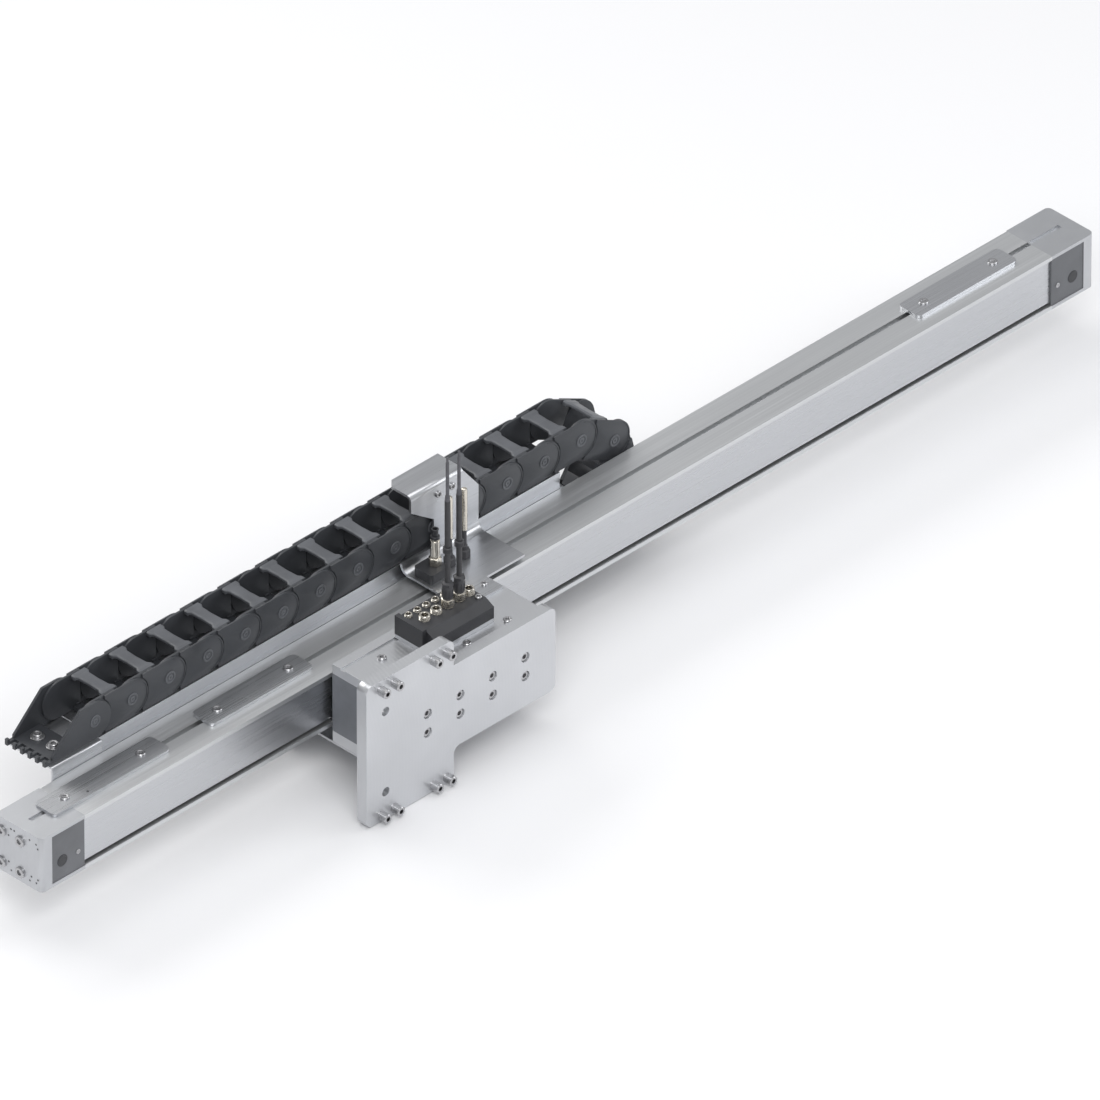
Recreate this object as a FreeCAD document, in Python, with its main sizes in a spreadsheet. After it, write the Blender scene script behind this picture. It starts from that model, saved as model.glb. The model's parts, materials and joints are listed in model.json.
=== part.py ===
"""Two-axis handling module: the driven horizontal axis with its energy chain.

The frame has X along the beam, Y away from the slide and Z up. Its origin is the middle of the two
foot holes in the underside of the left end cap. All lengths are in millimetres.
"""

import FreeCAD, Part
import math
import os
import Sketcher
from FreeCAD import Placement, Rotation, Vector

os.makedirs("parts", exist_ok=True)
doc = FreeCAD.newDocument("handling_module")
sheet = doc.addObject("Spreadsheet::Sheet", "sizes")

# Driving dimensions

DRIVING = {
    # Beam and end caps
    "beam_length": 1198,
    "beam_width": 57,
    "beam_height": 57,
    "beam_wall": 4,
    "beam_edge_radius": 1.5,
    "cap_length": 53,
    "cap_edge_radius": 5,
    "slot_mouth": 5,
    "slot_lip": 2.2,
    "slot_inner_width": 9.6,
    "slot_depth": 7.4,
    "slot_in_cap": 37,
    "slot_web": 2,
    "slot_wall": 2.5,
    "rear_slot_below_belt": 4.2,
    "partition": 4,
    "rear_chamber": 15.5,
    "running_slot": 2.5,
    "strip_thickness": 0.5,
    "strip_recess": 3,
    "strip_grip": 5,
    "clamp_panel_width": 40,
    "clamp_panel_recess": 0.8,
    "clamp_margin": 3.5,
    "end_screw_radius": 5.4,
    "end_screw_height": 2.2,
    "end_screw_low": 10,
    "end_screw_high": 14,
    "end_screw_front": 2.5,
    "end_screw_rear": 20.5,
    "foot_hole_radius": 2.75,
    "foot_hole_depth": 12,
    "foot_spacing": 40,
    "foot_edge": 7.15,
    # Drive inside the beam
    "belt_width": 14,
    "belt_thickness": 1.4,
    "belt_margin": 1.6,
    "fit_clearance": 0.05,
    "pulley_teeth": 15,
    "tooth_pitch": 5,
    "shaft_radius": 5,
    "shaft_reach": 6,
    "drive_bore_radius": 3,
    "drive_bore_depth": 22,
    "pulley_room": 2.7,
    "passage_radius": 6.5,
    "motor_pilot_radius": 11,
    "motor_pilot_depth": 6,
    "motor_spacing": 32,
    "motor_spacing_across": 28,
    "motor_hole_radius": 2.1,
    "motor_hole_depth": 12,
    "rail_width": 12,
    "rail_height": 8,
    "guide_length": 62,
    "guide_above_wall": 0.5,
    "guide_below_belt": 2,
    "guide_depth": 13,
    "guide_foot_gap": 2,
    "guide_clearance": 0.3,
    "frame_thickness": 6,
    "leg_thickness": 1.6,
    # Plates on the top slot
    "slot_plate_width": 26.5,
    "slot_plate_thickness": 3,
    "left_plate_length": 142,
    "left_plate_start": 31,
    "middle_plate_length": 125,
    "middle_plate_start": 222.5,
    "right_plate_length": 125,
    "right_plate_margin": 80.5,
    "plate_corner": 5,
    # Slide
    "slide_start": 351.5,
    "slide_length": 188.5,
    "slide_gap": 3,
    "slide_bottom": -2.2,
    "slide_above_beam": 2,
    "slide_wall": 9,
    "slide_front_wall": 14.4,
    "slide_web": 6,
    "cover_corner": 2,
    "cover_thickness": 4,
    "adapter_thickness": 10,
    "adapter_bottom_thickness": 11,
    "adapter_groove_width": 5,
    "adapter_groove_depth": 1.6,
    "adapter_groove_offset": 10,
    # Front plate
    "plate_front": 84.3,
    "plate_thickness": 12,
    "plate_start": 312.8,
    "plate_width": 232.2,
    "plate_tall_width": 107,
    "plate_tall_height": 150,
    "plate_bottom": -48,
    "plate_step_below": 34,
    "plate_step_above": 28,
    "plate_radius": 7,
    "fixing_columns": 4,
    "fixing_column_pitch": 40,
    "fixing_row_pitch": 20,
    "fixing_start": 75.2,
    "fixing_height": 76,
    "fixing_hole_radius": 5,
    "fixing_recess": 6.8,
    "axis_screw_radius": 4.6,
    "axis_screw_proud": 9,
    "axis_screw_edge": 6.8,
    "axis_screw_near": 17.6,
    "axis_screw_pair": 16.2,
    "axis_screw_far": 64.2,
    "upper_axis_screw_drop": 3,
    "dowel_radius": 4.5,
    "dowel_x": 23.4,
    "dowel_low": 29,
    "dowel_pitch": 85.7,
    # Distributor on the slide
    "box_start": 418,
    "box_length": 78,
    "box_rear": 13,
    "box_depth": 44.5,
    "box_base": 4,
    "box_height": 21,
    "box_chamfer": 10,
    "box_chamfer_drop": 5,
    "box_end_plate": 5,
    "box_corner": 1.5,
    "port_front_row": 33,
    "port_front_first": 17,
    "port_pitch": 14.2,
    "port_radius": 5.2,
    "port_height": 5,
    "port_bore": 3.2,
    "port_wide_height": 6.3,
    "port_wide_place": 6.5,
    "plug_nut_radius": 6.2,
    "plug_nut_height": 9,
    "plug_body_radius": 4.9,
    "plug_body_height": 17,
    "cable_radius": 2.6,
    "cable_length": 86,
    "tail_radius": 1.6,
    "tail_length": 46,
    # Bracket over the beam
    "bracket_sheet": 2.5,
    "bracket_above_beam": 4.2,
    "bracket_above_chain": 29.3,
    "bracket_shoulder_drop": 27,
    "bracket_start": 497.5,
    "bracket_end": 592,
    "bracket_bend": 10,
    "bracket_rear": 57.9,
    "bracket_wall_start": 537,
    "bracket_flange_start": 509,
    "bracket_flange_end": 573,
    "bracket_flange_depth": 29,
    "bracket_flange_chamfer": 7,
    "bracket_foot": 28,
    "fitting_block_start": 501,
    "fitting_block_size": 22.5,
    "fitting_block_place": 25,
    "fitting_block_height": 9.4,
    "fitting_block_corner": 3,
    "fitting_place": 15.75,
    "fitting_radius": 4.4,
    "fitting_height": 38,
    "fitting_collar_radius": 6.2,
    "fitting_collar_height": 9,
    # Energy chain
    "chain_pitch": 46,
    "chain_radius": 19.3,
    "chain_width": 50,
    "chain_plate": 2.5,
    "chain_gap": 0.4,
    "chain_clearance": 5.3,
    "chain_above_beam": 12.1,
    "chain_first_hinge": 126.7,
    "chain_upper_count": 13,
    "chain_lower_count": 6,
    "chain_first_turn": 26.6,
    "chain_turn": 49.4,
    "chain_bar_length": 13,
    "chain_bar_thickness": 3.2,
    "chain_open_bar_length": 18,
    "chain_floor": 3,
    "connector_length": 52,
    "connector_slope_start": 17.4,
    "connector_end_height": 6,
    "comb_teeth": 6,
    "comb_width": 3.4,
    "comb_length": 9,
    # Supports of the chain
    "sheet_thickness": 2,
    "chain_seat": 0.3,
    "support_rear": 112,
    "end_bracket_start": 69.5,
    "end_bracket_end": 130,
    "rail_gap": 1,
    "rail_end": 697,
    "rail_end_radius": 20,
    "rail_riser": 62,
    "rail_jog_drop": 2,
    "rail_window_drop": 15,
    "rail_tab_width": 30,
    "rail_tab_count": 3,
    "rail_tab_below_slot": 8,
    "end_bracket_below_slot": 6,
    "driver_sheet": 2.5,
    "driver_front": 60,
    "driver_riser": 57.2,
    "driver_length": 89,
}


class Size:
    """A number that also knows the formula that gives it from the sheet's cells."""

    def __init__(self, value, formula):
        self.value = float(value)
        self.formula = formula

    def __add__(self, other):
        other = size(other)
        return Size(self.value + other.value, f"({self.formula} + {other.formula})")

    def __radd__(self, other):
        return size(other) + self

    def __sub__(self, other):
        other = size(other)
        return Size(self.value - other.value, f"({self.formula} - {other.formula})")

    def __rsub__(self, other):
        return size(other) - self

    def __mul__(self, other):
        other = size(other)
        return Size(self.value * other.value, f"({self.formula} * {other.formula})")

    def __rmul__(self, other):
        return size(other) * self

    def __truediv__(self, other):
        other = size(other)
        return Size(self.value / other.value, f"({self.formula} / {other.formula})")

    def __neg__(self):
        return Size(-self.value, f"(0 - {self.formula})")


def size(number):
    """A Size for a plain number, or the Size itself."""
    if isinstance(number, Size):
        return number
    return Size(number, repr(float(number)))


class Sizes:
    """The driving dimensions, each as an attribute that is bound to its cell."""


for row, (alias, value) in enumerate(DRIVING.items(), start=1):
    sheet.set(f"A{row}", alias)
    sheet.set(f"B{row}", str(value))
    sheet.setAlias(f"B{row}", alias)
    setattr(Sizes, alias, Size(value, f"sizes.{alias}"))
doc.recompute()
D = Sizes

# Helpers that bind an object's numbers to the sheet

SAME_PLACE = 0.1
AXES = {"x": Vector(0, 1, 0), "y": Vector(-1, 0, 0), "z": Vector(0, 0, 1)}
TURN_TO_AXIS = {"x": Rotation(Vector(0, 1, 0), 90), "y": Rotation(Vector(1, 0, 0), -90), "z": Rotation()}


def bind(thing, **numbers):
    """Bind properties such as Length to the formulas of the sizes given."""
    for name, number in numbers.items():
        thing.setExpression(name, size(number).formula)


def place(thing, corner, rotation=None):
    """Put an object at a corner given as three sizes, with an optional rotation."""
    numbers = [size(number) for number in corner]
    spot = Vector(*[number.value for number in numbers])
    thing.Placement = Placement(spot, rotation or Rotation())
    for axis, number in zip("xyz", numbers):
        thing.setExpression(f"Placement.Base.{axis}", number.formula)


def block(name, corner, extent):
    """A box from its lowest corner and its three edges."""
    box = doc.addObject("Part::Box", name)
    bind(box, Length=extent[0], Width=extent[1], Height=extent[2])
    place(box, corner)
    return box


def span(name, low, high):
    """A box from its lowest corner to its highest."""
    extent = [size(top) - size(bottom) for bottom, top in zip(low, high)]
    return block(name, low, extent)


def rod(name, start, axis, radius, length):
    """A cylinder that grows from its start along +X, +Y or +Z."""
    cylinder = doc.addObject("Part::Cylinder", name)
    bind(cylinder, Radius=radius, Height=length)
    place(cylinder, start, TURN_TO_AXIS[axis])
    return cylinder


def hexagon(name, start, axis, radius, length):
    """A hexagonal prism that grows from its start along +X, +Y or +Z."""
    prism = doc.addObject("Part::Prism", name)
    prism.Polygon = 6
    bind(prism, Circumradius=radius, Height=length)
    place(prism, start, TURN_TO_AXIS[axis])
    return prism


def join(name, *pieces):
    """Pieces that are one solid."""
    fusion = doc.addObject("Part::MultiFuse", name)
    fusion.Shapes = list(pieces)
    fusion.Refine = True
    return fusion


def gather(name, *pieces):
    """Separate solids that share one node."""
    group = doc.addObject("Part::Compound", name)
    group.Links = list(pieces)
    return group


def cut(name, base, *tools):
    """A base with one or more tools taken away."""
    tool = tools[0]
    if len(tools) > 1:
        tool = doc.addObject("Part::Compound", f"{name}_tools")
        tool.Links = list(tools)
    result = doc.addObject("Part::Cut", name)
    result.Base = base
    result.Tool = tool
    result.Refine = True
    return result


def rounded(name, base, radius, chosen):
    """A base whose edges are rounded where chosen(edge) is true."""
    doc.recompute()
    fillet = doc.addObject("Part::Fillet", name)
    fillet.Base = base
    reach = size(radius).value
    edges = [number for number, edge in enumerate(base.Shape.Edges, start=1) if chosen(edge)]
    fillet.Edges = [(number, reach, reach) for number in edges]
    return fillet


def runs_along(edge, axis):
    """True for a straight edge along one of the axes."""
    if not isinstance(edge.Curve, Part.Line):
        return False
    return abs(abs(getattr(edge.Curve.Direction, axis)) - 1) < 1e-6


PLANES = {"xy": "XY_Plane", "xz": "XZ_Plane", "yz": "YZ_Plane"}


def outline_sketch(body, plane, outlines, circles=()):
    """A sketch of closed outlines of (across, up, radius) corners, and of (across, up, radius) circles."""
    sketch = body.newObject("Sketcher::SketchObject", f"{body.Name}_sketch")
    origin = [item for item in body.Origin.OriginFeatures if item.Role == PLANES[plane]][0]
    sketch.AttachmentSupport = [(origin, "")]
    sketch.MapMode = "FlatFace"
    for corners in outlines:
        draw_outline(sketch, corners)
    for across, up, radius in circles:
        across, up, radius = size(across), size(up), size(radius)
        centre = Vector(across.value, up.value, 0)
        circle = sketch.addGeometry(Part.Circle(centre, Vector(0, 0, 1), radius.value))
        pin_point(sketch, circle, 3, across, up)
        constrain(sketch, Sketcher.Constraint("Radius", circle, radius.value), radius)
    return sketch


def constrain(sketch, constraint, number=None):
    """Add a constraint and bind it to a size."""
    index = sketch.addConstraint(constraint)
    if number is not None:
        sketch.setExpression(f"Constraints[{index}]", number.formula)


def pin_point(sketch, geometry, point, across, up):
    """Hold a point of the sketch at its two distances from the sketch's origin."""
    across_pin = Sketcher.Constraint("DistanceX", -1, 1, geometry, point, across.value)
    up_pin = Sketcher.Constraint("DistanceY", -1, 1, geometry, point, up.value)
    constrain(sketch, across_pin, across)
    constrain(sketch, up_pin, up)


def draw_outline(sketch, corners):
    """One closed outline of straight lines, with an arc at each corner that has a radius."""
    corners = [[size(number) for number in (list(corner) + [0])[:3]] for corner in corners]
    spots = [Vector(across.value, up.value, 0) for across, up, radius in corners]
    count = len(corners)
    arrive, leave = [], []
    for index, (across, up, radius) in enumerate(corners):
        spot = spots[index]
        back = (spots[index - 1] - spot).normalize()
        ahead = (spots[(index + 1) % count] - spot).normalize()
        half_angle = back.getAngle(ahead) / 2
        reach = radius.value / math.tan(half_angle)
        arrive.append(spot + back * reach)
        leave.append(spot + ahead * reach)
    lines = []
    for index in range(count):
        following = (index + 1) % count
        lines.append(sketch.addGeometry(Part.LineSegment(leave[index], arrive[following])))
    for index, (across, up, radius) in enumerate(corners):
        before, after = lines[index - 1], lines[index]
        if radius.value == 0:
            sketch.addConstraint(Sketcher.Constraint("Coincident", before, 2, after, 1))
            pin_point(sketch, after, 1, across, up)
            continue
        back = (spots[index - 1] - spots[index]).normalize()
        ahead = (spots[(index + 1) % count] - spots[index]).normalize()
        toward = (back + ahead).normalize()
        distance = radius.value / math.sin(back.getAngle(ahead) / 2)
        centre = spots[index] + toward * distance
        middle = centre - toward * radius.value
        arc = sketch.addGeometry(Part.Arc(arrive[index], middle, leave[index]))
        turns_left = back.cross(ahead).z < 0
        first, last = (1, 2) if turns_left else (2, 1)
        sketch.addConstraint(Sketcher.Constraint("Tangent", before, 2, arc, first))
        sketch.addConstraint(Sketcher.Constraint("Tangent", arc, last, after, 1))
        constrain(sketch, Sketcher.Constraint("Radius", arc, radius.value), radius)
        corner = sketch.addGeometry(Part.Point(spots[index]), True)
        sketch.addConstraint(Sketcher.Constraint("PointOnObject", corner, 1, before))
        sketch.addConstraint(Sketcher.Constraint("PointOnObject", corner, 1, after))
        pin_point(sketch, corner, 1, across, up)


def extrusion(name, plane, outlines, depth, at=(0, 0, 0), circles=(), reverse=False):
    """A body padded from outlines in one of its planes, at a place of the part."""
    body = doc.addObject("PartDesign::Body", name)
    sketch = outline_sketch(body, plane, outlines, circles)
    pad = body.newObject("PartDesign::Pad", f"{name}_pad")
    pad.Profile = sketch
    pad.Reversed = reverse
    bind(pad, Length=depth)
    sketch.Visibility = False
    place(body, at)
    return body


NODES = {}


def node(name, thing):
    """Give a finished sub-part its name."""
    thing.Label = name
    NODES[name] = thing
    return thing


def computed(name, shape):
    """A sub-part whose shape is worked out by the geometry kernel's own functions."""
    feature = doc.addObject("Part::Feature", name)
    feature.Shape = shape
    return feature


# Places that follow from the driving dimensions

left_face = -D.cap_length / 2
profile_start = D.cap_length / 2
profile_end = profile_start + D.beam_length
right_face = profile_end + D.cap_length
right_cap_middle = profile_end + D.cap_length / 2
front = -D.beam_width / 2
rear = D.beam_width / 2
slot_box_low = D.beam_height - D.slot_depth - D.slot_wall
slot_half = D.slot_inner_width / 2 + D.slot_wall
rear_chamber_start = D.beam_width - D.beam_wall - D.rear_chamber
front_chamber_end = rear_chamber_start - D.partition
belt_top = slot_box_low - D.belt_margin
belt_low = belt_top - D.belt_width
rear_slot_z = belt_low - D.rear_slot_below_belt - slot_half
slide_height = D.beam_height + D.slide_above_beam - D.slide_bottom
chain_height = D.beam_height + D.chain_above_beam + D.chain_radius
pulley_pitch_radius = D.pulley_teeth * D.tooth_pitch / (2 * math.pi)
pulley_y = front + rear_chamber_start
front_run_y = pulley_y - pulley_pitch_radius
rear_run_y = pulley_y + pulley_pitch_radius


def from_left(distance):
    """X of a place measured from the beam's left end face."""
    return left_face + distance


def from_front(depth):
    """Y of a place measured back from the beam's front face."""
    return front + depth


# Beam

def beam_outlines():
    """The profile's section: open front chamber, partition, rear chamber and two T-slots."""
    width, height, wall = D.beam_width, D.beam_height, D.beam_wall
    corner = D.beam_edge_radius
    middle = width / 2
    mouth, inner = D.slot_mouth / 2, D.slot_inner_width / 2
    lip, depth = D.slot_lip, D.slot_depth
    slot_z = rear_slot_z
    outer = [
        (0, 0), (width, 0, corner),
        (width, slot_z - mouth), (width - lip, slot_z - mouth), (width - lip, slot_z - inner),
        (width - depth, slot_z - inner), (width - depth, slot_z + inner), (width - lip, slot_z + inner),
        (width - lip, slot_z + mouth), (width, slot_z + mouth),
        (width, height, corner), (middle + mouth, height), (middle + mouth, height - lip),
        (middle + inner, height - lip), (middle + inner, height - depth),
        (middle - inner, height - depth), (middle - inner, height - lip),
        (middle - mouth, height - lip), (middle - mouth, height), (0, height),
        (0, height - wall), (middle - slot_half, height - wall), (middle - slot_half, slot_box_low),
        (front_chamber_end, slot_box_low), (front_chamber_end, wall), (0, wall),
    ]
    box_low, box_high = slot_z - slot_half, slot_z + slot_half
    box_front = width - depth - D.slot_wall
    chamber = [
        (rear_chamber_start, wall), (width - wall, wall), (width - wall, box_low), (box_front, box_low),
        (box_front, box_high), (width - wall, box_high), (width - wall, height - wall),
        (rear_chamber_start, height - wall),
    ]
    return [outer, chamber]


beam = extrusion("beam_profile", "yz", beam_outlines(), D.beam_length, (profile_start, front, 0))
node("beam_profile", beam)

strip_low = D.beam_wall + D.running_slot
strip_high = D.beam_height - D.beam_wall - D.running_slot
strip_y = from_front(D.strip_recess)
strip = span(
    "strip",
    (profile_start - D.strip_grip, strip_y, strip_low),
    (profile_end + D.strip_grip, strip_y + D.strip_thickness, strip_high),
)
node("cover_strip", strip)


# End caps

pocket_low = belt_low - D.pulley_room
pocket_high = belt_top + D.pulley_room
pocket_half = pulley_pitch_radius + D.pulley_room


def end_cap(name, middle, joint, outward, has_motor):
    """A cap around a pulley; outward is -1 for the left cap and +1 for the right one."""
    start = middle - D.cap_length / 2
    body = span(f"{name}_block", (start, front, 0), (start + D.cap_length, rear, D.beam_height))
    outer_x = (middle + outward * D.cap_length / 2).value

    def at_end(edge):
        return runs_along(edge, "z") and abs(edge.CenterOfMass.x - outer_x) < SAME_PLACE

    shell = rounded(f"{name}_shell", body, D.cap_edge_radius, at_end)
    inner = joint + outward * D.clamp_panel_width
    low_x, high_x = (inner, joint) if outward < 0 else (joint, inner)
    panel_low = D.clamp_margin
    panel_high = D.beam_height - D.clamp_margin
    recess = span(
        f"{name}_recess",
        (low_x, front, panel_low),
        (high_x, strip_y + D.strip_thickness, panel_high),
    )
    room_low, room_high = (middle - pocket_half, joint) if outward < 0 else (joint, middle + pocket_half)
    pocket = span(
        f"{name}_pocket",
        (room_low, pulley_y - pocket_half, pocket_low),
        (room_high, pulley_y + pocket_half, pocket_high),
    )
    seats = rod(f"{name}_seats", (middle, pulley_y, pocket_low - D.shaft_reach), "z",
                D.shaft_radius + D.fit_clearance, pocket_high - pocket_low + 2 * D.shaft_reach)
    groove_low = joint + D.slot_web if outward > 0 else joint - D.slot_web - D.slot_in_cap
    groove = block(
        f"{name}_groove",
        (groove_low, -D.slot_mouth / 2, D.beam_height - D.slot_lip),
        (D.slot_in_cap, D.slot_mouth, D.slot_lip),
    )
    tools = [recess, pocket, seats, groove]
    for number, spot in enumerate(foot_places(middle, has_motor)):
        tools.append(rod(f"{name}_foot_{number}", spot, "z", D.foot_hole_radius, D.foot_hole_depth))
    if has_motor:
        tools.append(rod(f"{name}_pilot", (middle, pulley_y, 0), "z",
                         D.motor_pilot_radius, D.motor_pilot_depth))
        tools.append(rod(f"{name}_passage", (middle, pulley_y, 0), "z", D.passage_radius,
                         pocket_low - D.shaft_reach))
        for number, (spot_x, spot_y) in enumerate(motor_places(middle)):
            tools.append(rod(f"{name}_motor_hole_{number}", (spot_x, spot_y, 0), "z",
                             D.motor_hole_radius, D.motor_hole_depth))
    return node(name, cut(f"{name}_cut", shell, *tools))


def foot_places(middle, has_motor):
    """Foot holes: across the beam on the left cap, along its front edge beside the motor opening."""
    half = D.foot_spacing / 2
    if has_motor:
        edge_y = front + D.foot_edge
        return [(middle - half, edge_y, 0), (middle + half, edge_y, 0)]
    return [(middle, -half, 0), (middle, half, 0)]


def motor_places(middle):
    """Corners of the rectangle of motor screws around the drive shaft."""
    half, across = D.motor_spacing / 2, D.motor_spacing_across / 2
    return [(middle + x * half, pulley_y + y * across) for x in (-1, 1) for y in (-1, 1)]


end_cap("left_end_cap", size(0), profile_start, -1, False)
end_cap("right_end_cap", right_cap_middle, profile_end, 1, True)
end_screws = []
left_face, right_face = 0 - D.cap_length / 2, right_cap_middle + D.cap_length / 2
for side, start in (("left", left_face - D.end_screw_height), ("right", right_face)):
    for row, spot_z in enumerate((D.end_screw_low, D.beam_height - D.end_screw_high)):
        for column, spot_y in enumerate((0 - D.end_screw_front, size(D.end_screw_rear))):
            end_screws.append(hexagon(f"{side}_end_screw_{row}_{column}", (start, spot_y, spot_z), "x",
                                      D.end_screw_radius, D.end_screw_height))
node("end_cap_screws", gather("end_cap_screws", *end_screws))


# Strip clamps

for side, joint, outward in (("left", profile_start, -1), ("right", profile_end, 1)):
    inner = joint + outward * D.clamp_panel_width
    low_x, high_x = (inner, joint) if outward < 0 else (joint, inner)
    panel = span(
        f"{side}_panel",
        (low_x, from_front(D.clamp_panel_recess), D.clamp_margin),
        (high_x, strip_y, D.beam_height - D.clamp_margin),
    )
    node(f"{side}_strip_clamp", panel)


# Drive: pulleys and belt

def pulley(name, middle, has_bore):
    """A pulley turned about Z in one piece with its shaft."""
    drum_radius = pulley_pitch_radius - D.belt_thickness / 2
    drum = rod(f"{name}_drum", (middle, pulley_y, belt_low), "z", drum_radius, D.belt_width)
    shaft_low = pocket_low - D.shaft_reach + D.fit_clearance
    shaft = rod(f"{name}_shaft", (middle, pulley_y, shaft_low), "z", D.shaft_radius,
                pocket_high + D.shaft_reach - D.fit_clearance - shaft_low)
    whole = join(f"{name}_whole", drum, shaft)
    if has_bore:
        bore = rod(f"{name}_bore", (middle, pulley_y, shaft_low), "z",
                   D.drive_bore_radius, D.drive_bore_depth)
        whole = cut(f"{name}_bored", whole, bore)
    return node(name, whole)


pulley("idler_pulley", size(0), False)
pulley("drive_pulley", right_cap_middle, True)


NEARLY_ROUND = 0.999


def belt_loop(name, radius, extra):
    """A slab with round ends about both pulley axes."""
    body = doc.addObject("PartDesign::Body", name)
    length = right_cap_middle
    grown = radius + extra
    turn = grown * NEARLY_ROUND
    corners = [(0 - grown, 0 - grown, turn), (length + grown, 0 - grown, turn),
               (length + grown, grown, turn), (0 - grown, grown, turn)]
    sketch = outline_sketch(body, "xy", [corners])
    pad = body.newObject("PartDesign::Pad", f"{name}_pad")
    pad.Profile = sketch
    bind(pad, Length=D.belt_width)
    place(body, (0, pulley_y, belt_low))
    return body


half_belt = D.belt_thickness / 2
belt_outer = belt_loop("belt_outer", pulley_pitch_radius, half_belt)
belt_inner = belt_loop("belt_inner", pulley_pitch_radius, D.fit_clearance - half_belt)
node("toothed_belt", cut("belt", belt_outer, belt_inner))

# Linear guide and the inner part of the slide

guide_low = D.beam_wall + D.guide_above_wall
guide_high = belt_low - D.guide_below_belt
rail_z = (guide_low + guide_high) / 2
partition_y = from_front(front_chamber_end)
guide_rail = span(
    "rail_bar",
    (profile_start, partition_y - D.rail_height, rail_z - D.rail_width / 2),
    (profile_end, partition_y, rail_z + D.rail_width / 2),
)
node("guide_rail", guide_rail)

slide_start = from_left(D.slide_start)
slide_end = slide_start + D.slide_length
slide_middle = slide_start + D.slide_length / 2
guide_front = partition_y - D.guide_depth
guide_start = slide_middle - D.guide_length / 2
guide_blank = span(
    "guide_blank",
    (guide_start, guide_front, guide_low),
    (guide_start + D.guide_length, partition_y - D.guide_foot_gap, guide_high),
)
guide_groove = span(
    "guide_groove",
    (guide_start, partition_y - D.rail_height - D.guide_clearance,
     rail_z - D.rail_width / 2 - D.guide_clearance),
    (guide_start + D.guide_length, partition_y, rail_z + D.rail_width / 2 + D.guide_clearance),
)
node("guide_block", cut("guide", guide_blank, guide_groove))

leg_gap = (D.running_slot - D.leg_thickness) / 2
low_leg = D.beam_wall + leg_gap
high_leg = D.beam_height - D.beam_wall - leg_gap - D.leg_thickness
slide_rear = front - D.slide_gap
frame_rear = guide_front
frame_front = frame_rear - D.frame_thickness
frame_start = slide_start + D.cover_thickness
frame_end = slide_end - D.cover_thickness
frame_wall = span("frame_wall", (frame_start, frame_front, low_leg),
                  (frame_end, frame_rear, high_leg + D.leg_thickness))
lower_leg = block("lower_leg", (frame_start, slide_rear, low_leg),
                  (frame_end - frame_start, frame_rear - slide_rear, D.leg_thickness))
upper_leg = block("upper_leg", (frame_start, slide_rear, high_leg),
                  (frame_end - frame_start, frame_rear - slide_rear, D.leg_thickness))
node("slide_frame", join("slide_frame", frame_wall, lower_leg, upper_leg))

clamp_half = D.guide_length / 4
jaw_low = belt_low - D.guide_clearance - D.belt_thickness / 2
jaw_high = belt_top + D.guide_clearance
belt_gap = half_belt + D.guide_clearance
front_jaw = span("front_jaw", (slide_middle - clamp_half, guide_front, jaw_low),
                 (slide_middle + clamp_half, front_run_y - belt_gap, jaw_high))
rear_jaw = span("rear_jaw", (slide_middle - clamp_half, front_run_y + belt_gap, jaw_low),
                (slide_middle + clamp_half, front_run_y + belt_gap + D.guide_foot_gap, jaw_high))
jaw_web = span("jaw_web", (slide_middle - clamp_half, guide_front, jaw_low),
               (slide_middle + clamp_half, front_run_y + belt_gap, belt_low - D.guide_clearance))
node("belt_clamp", join("belt_clamp", front_jaw, rear_jaw, jaw_web))

# Plates on the top slot

def slot_plate(name, start, length):
    """A flat plate with rounded corners on the beam's top."""
    width, corner = D.slot_plate_width, D.plate_corner
    outline = [(0, 0, corner), (length, 0, corner), (length, width, corner), (0, width, corner)]
    return node(name, extrusion(f"{name}_blank", "xy", [outline], D.slot_plate_thickness,
                                (start, -width / 2, D.beam_height)))


slot_plate("left_slot_plate", from_left(D.left_plate_start), D.left_plate_length)
slot_plate("middle_slot_plate", from_left(D.middle_plate_start), D.middle_plate_length)
slot_plate("right_slot_plate", right_face - D.right_plate_margin - D.right_plate_length, D.right_plate_length)

# Slide: hollow body, end covers, plates above and below

plate_rear = front - D.plate_front + D.plate_thickness
slide_depth = slide_rear - plate_rear
slide_top = D.slide_bottom + slide_height
wall, front_wall = D.slide_wall, D.slide_front_wall
web_front, web_rear = slide_depth / 2 - D.slide_web / 2, slide_depth / 2 + D.slide_web / 2
body_outline = [(0, 0), (slide_depth, 0), (slide_depth, slide_height), (0, slide_height)]
front_cell = [(front_wall, wall), (web_front, wall), (web_front, slide_height - wall),
              (front_wall, slide_height - wall)]
rear_cell = [(web_rear, wall), (slide_depth - wall, wall), (slide_depth - wall, slide_height - wall),
             (web_rear, slide_height - wall)]
slide_body = extrusion(
    "slide_body", "yz", [body_outline, front_cell, rear_cell],
    D.slide_length - 2 * D.cover_thickness, (slide_start + D.cover_thickness, plate_rear, D.slide_bottom))

fixing_spots = []
for column in range(round(D.fixing_columns.value)):
    for row in (-1, 1):
        spot_x = from_left(D.plate_start) + D.fixing_start + column * D.fixing_column_pitch
        spot_z = D.plate_bottom + D.fixing_height + row * D.fixing_row_pitch / 2
        fixing_spots.append((spot_x, spot_z))
node("carriage_body", slide_body)

for side, start in (("left", slide_start), ("right", slide_end - D.cover_thickness)):
    cover = extrusion(
        f"{side}_cover", "yz",
        [[(0, 0, D.cover_corner), (slide_depth, 0, D.cover_corner),
          (slide_depth, slide_height, D.cover_corner), (0, slide_height, D.cover_corner)]],
        D.cover_thickness, (start, plate_rear, D.slide_bottom))
    node(f"{side}_carriage_cover", cover)

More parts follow.
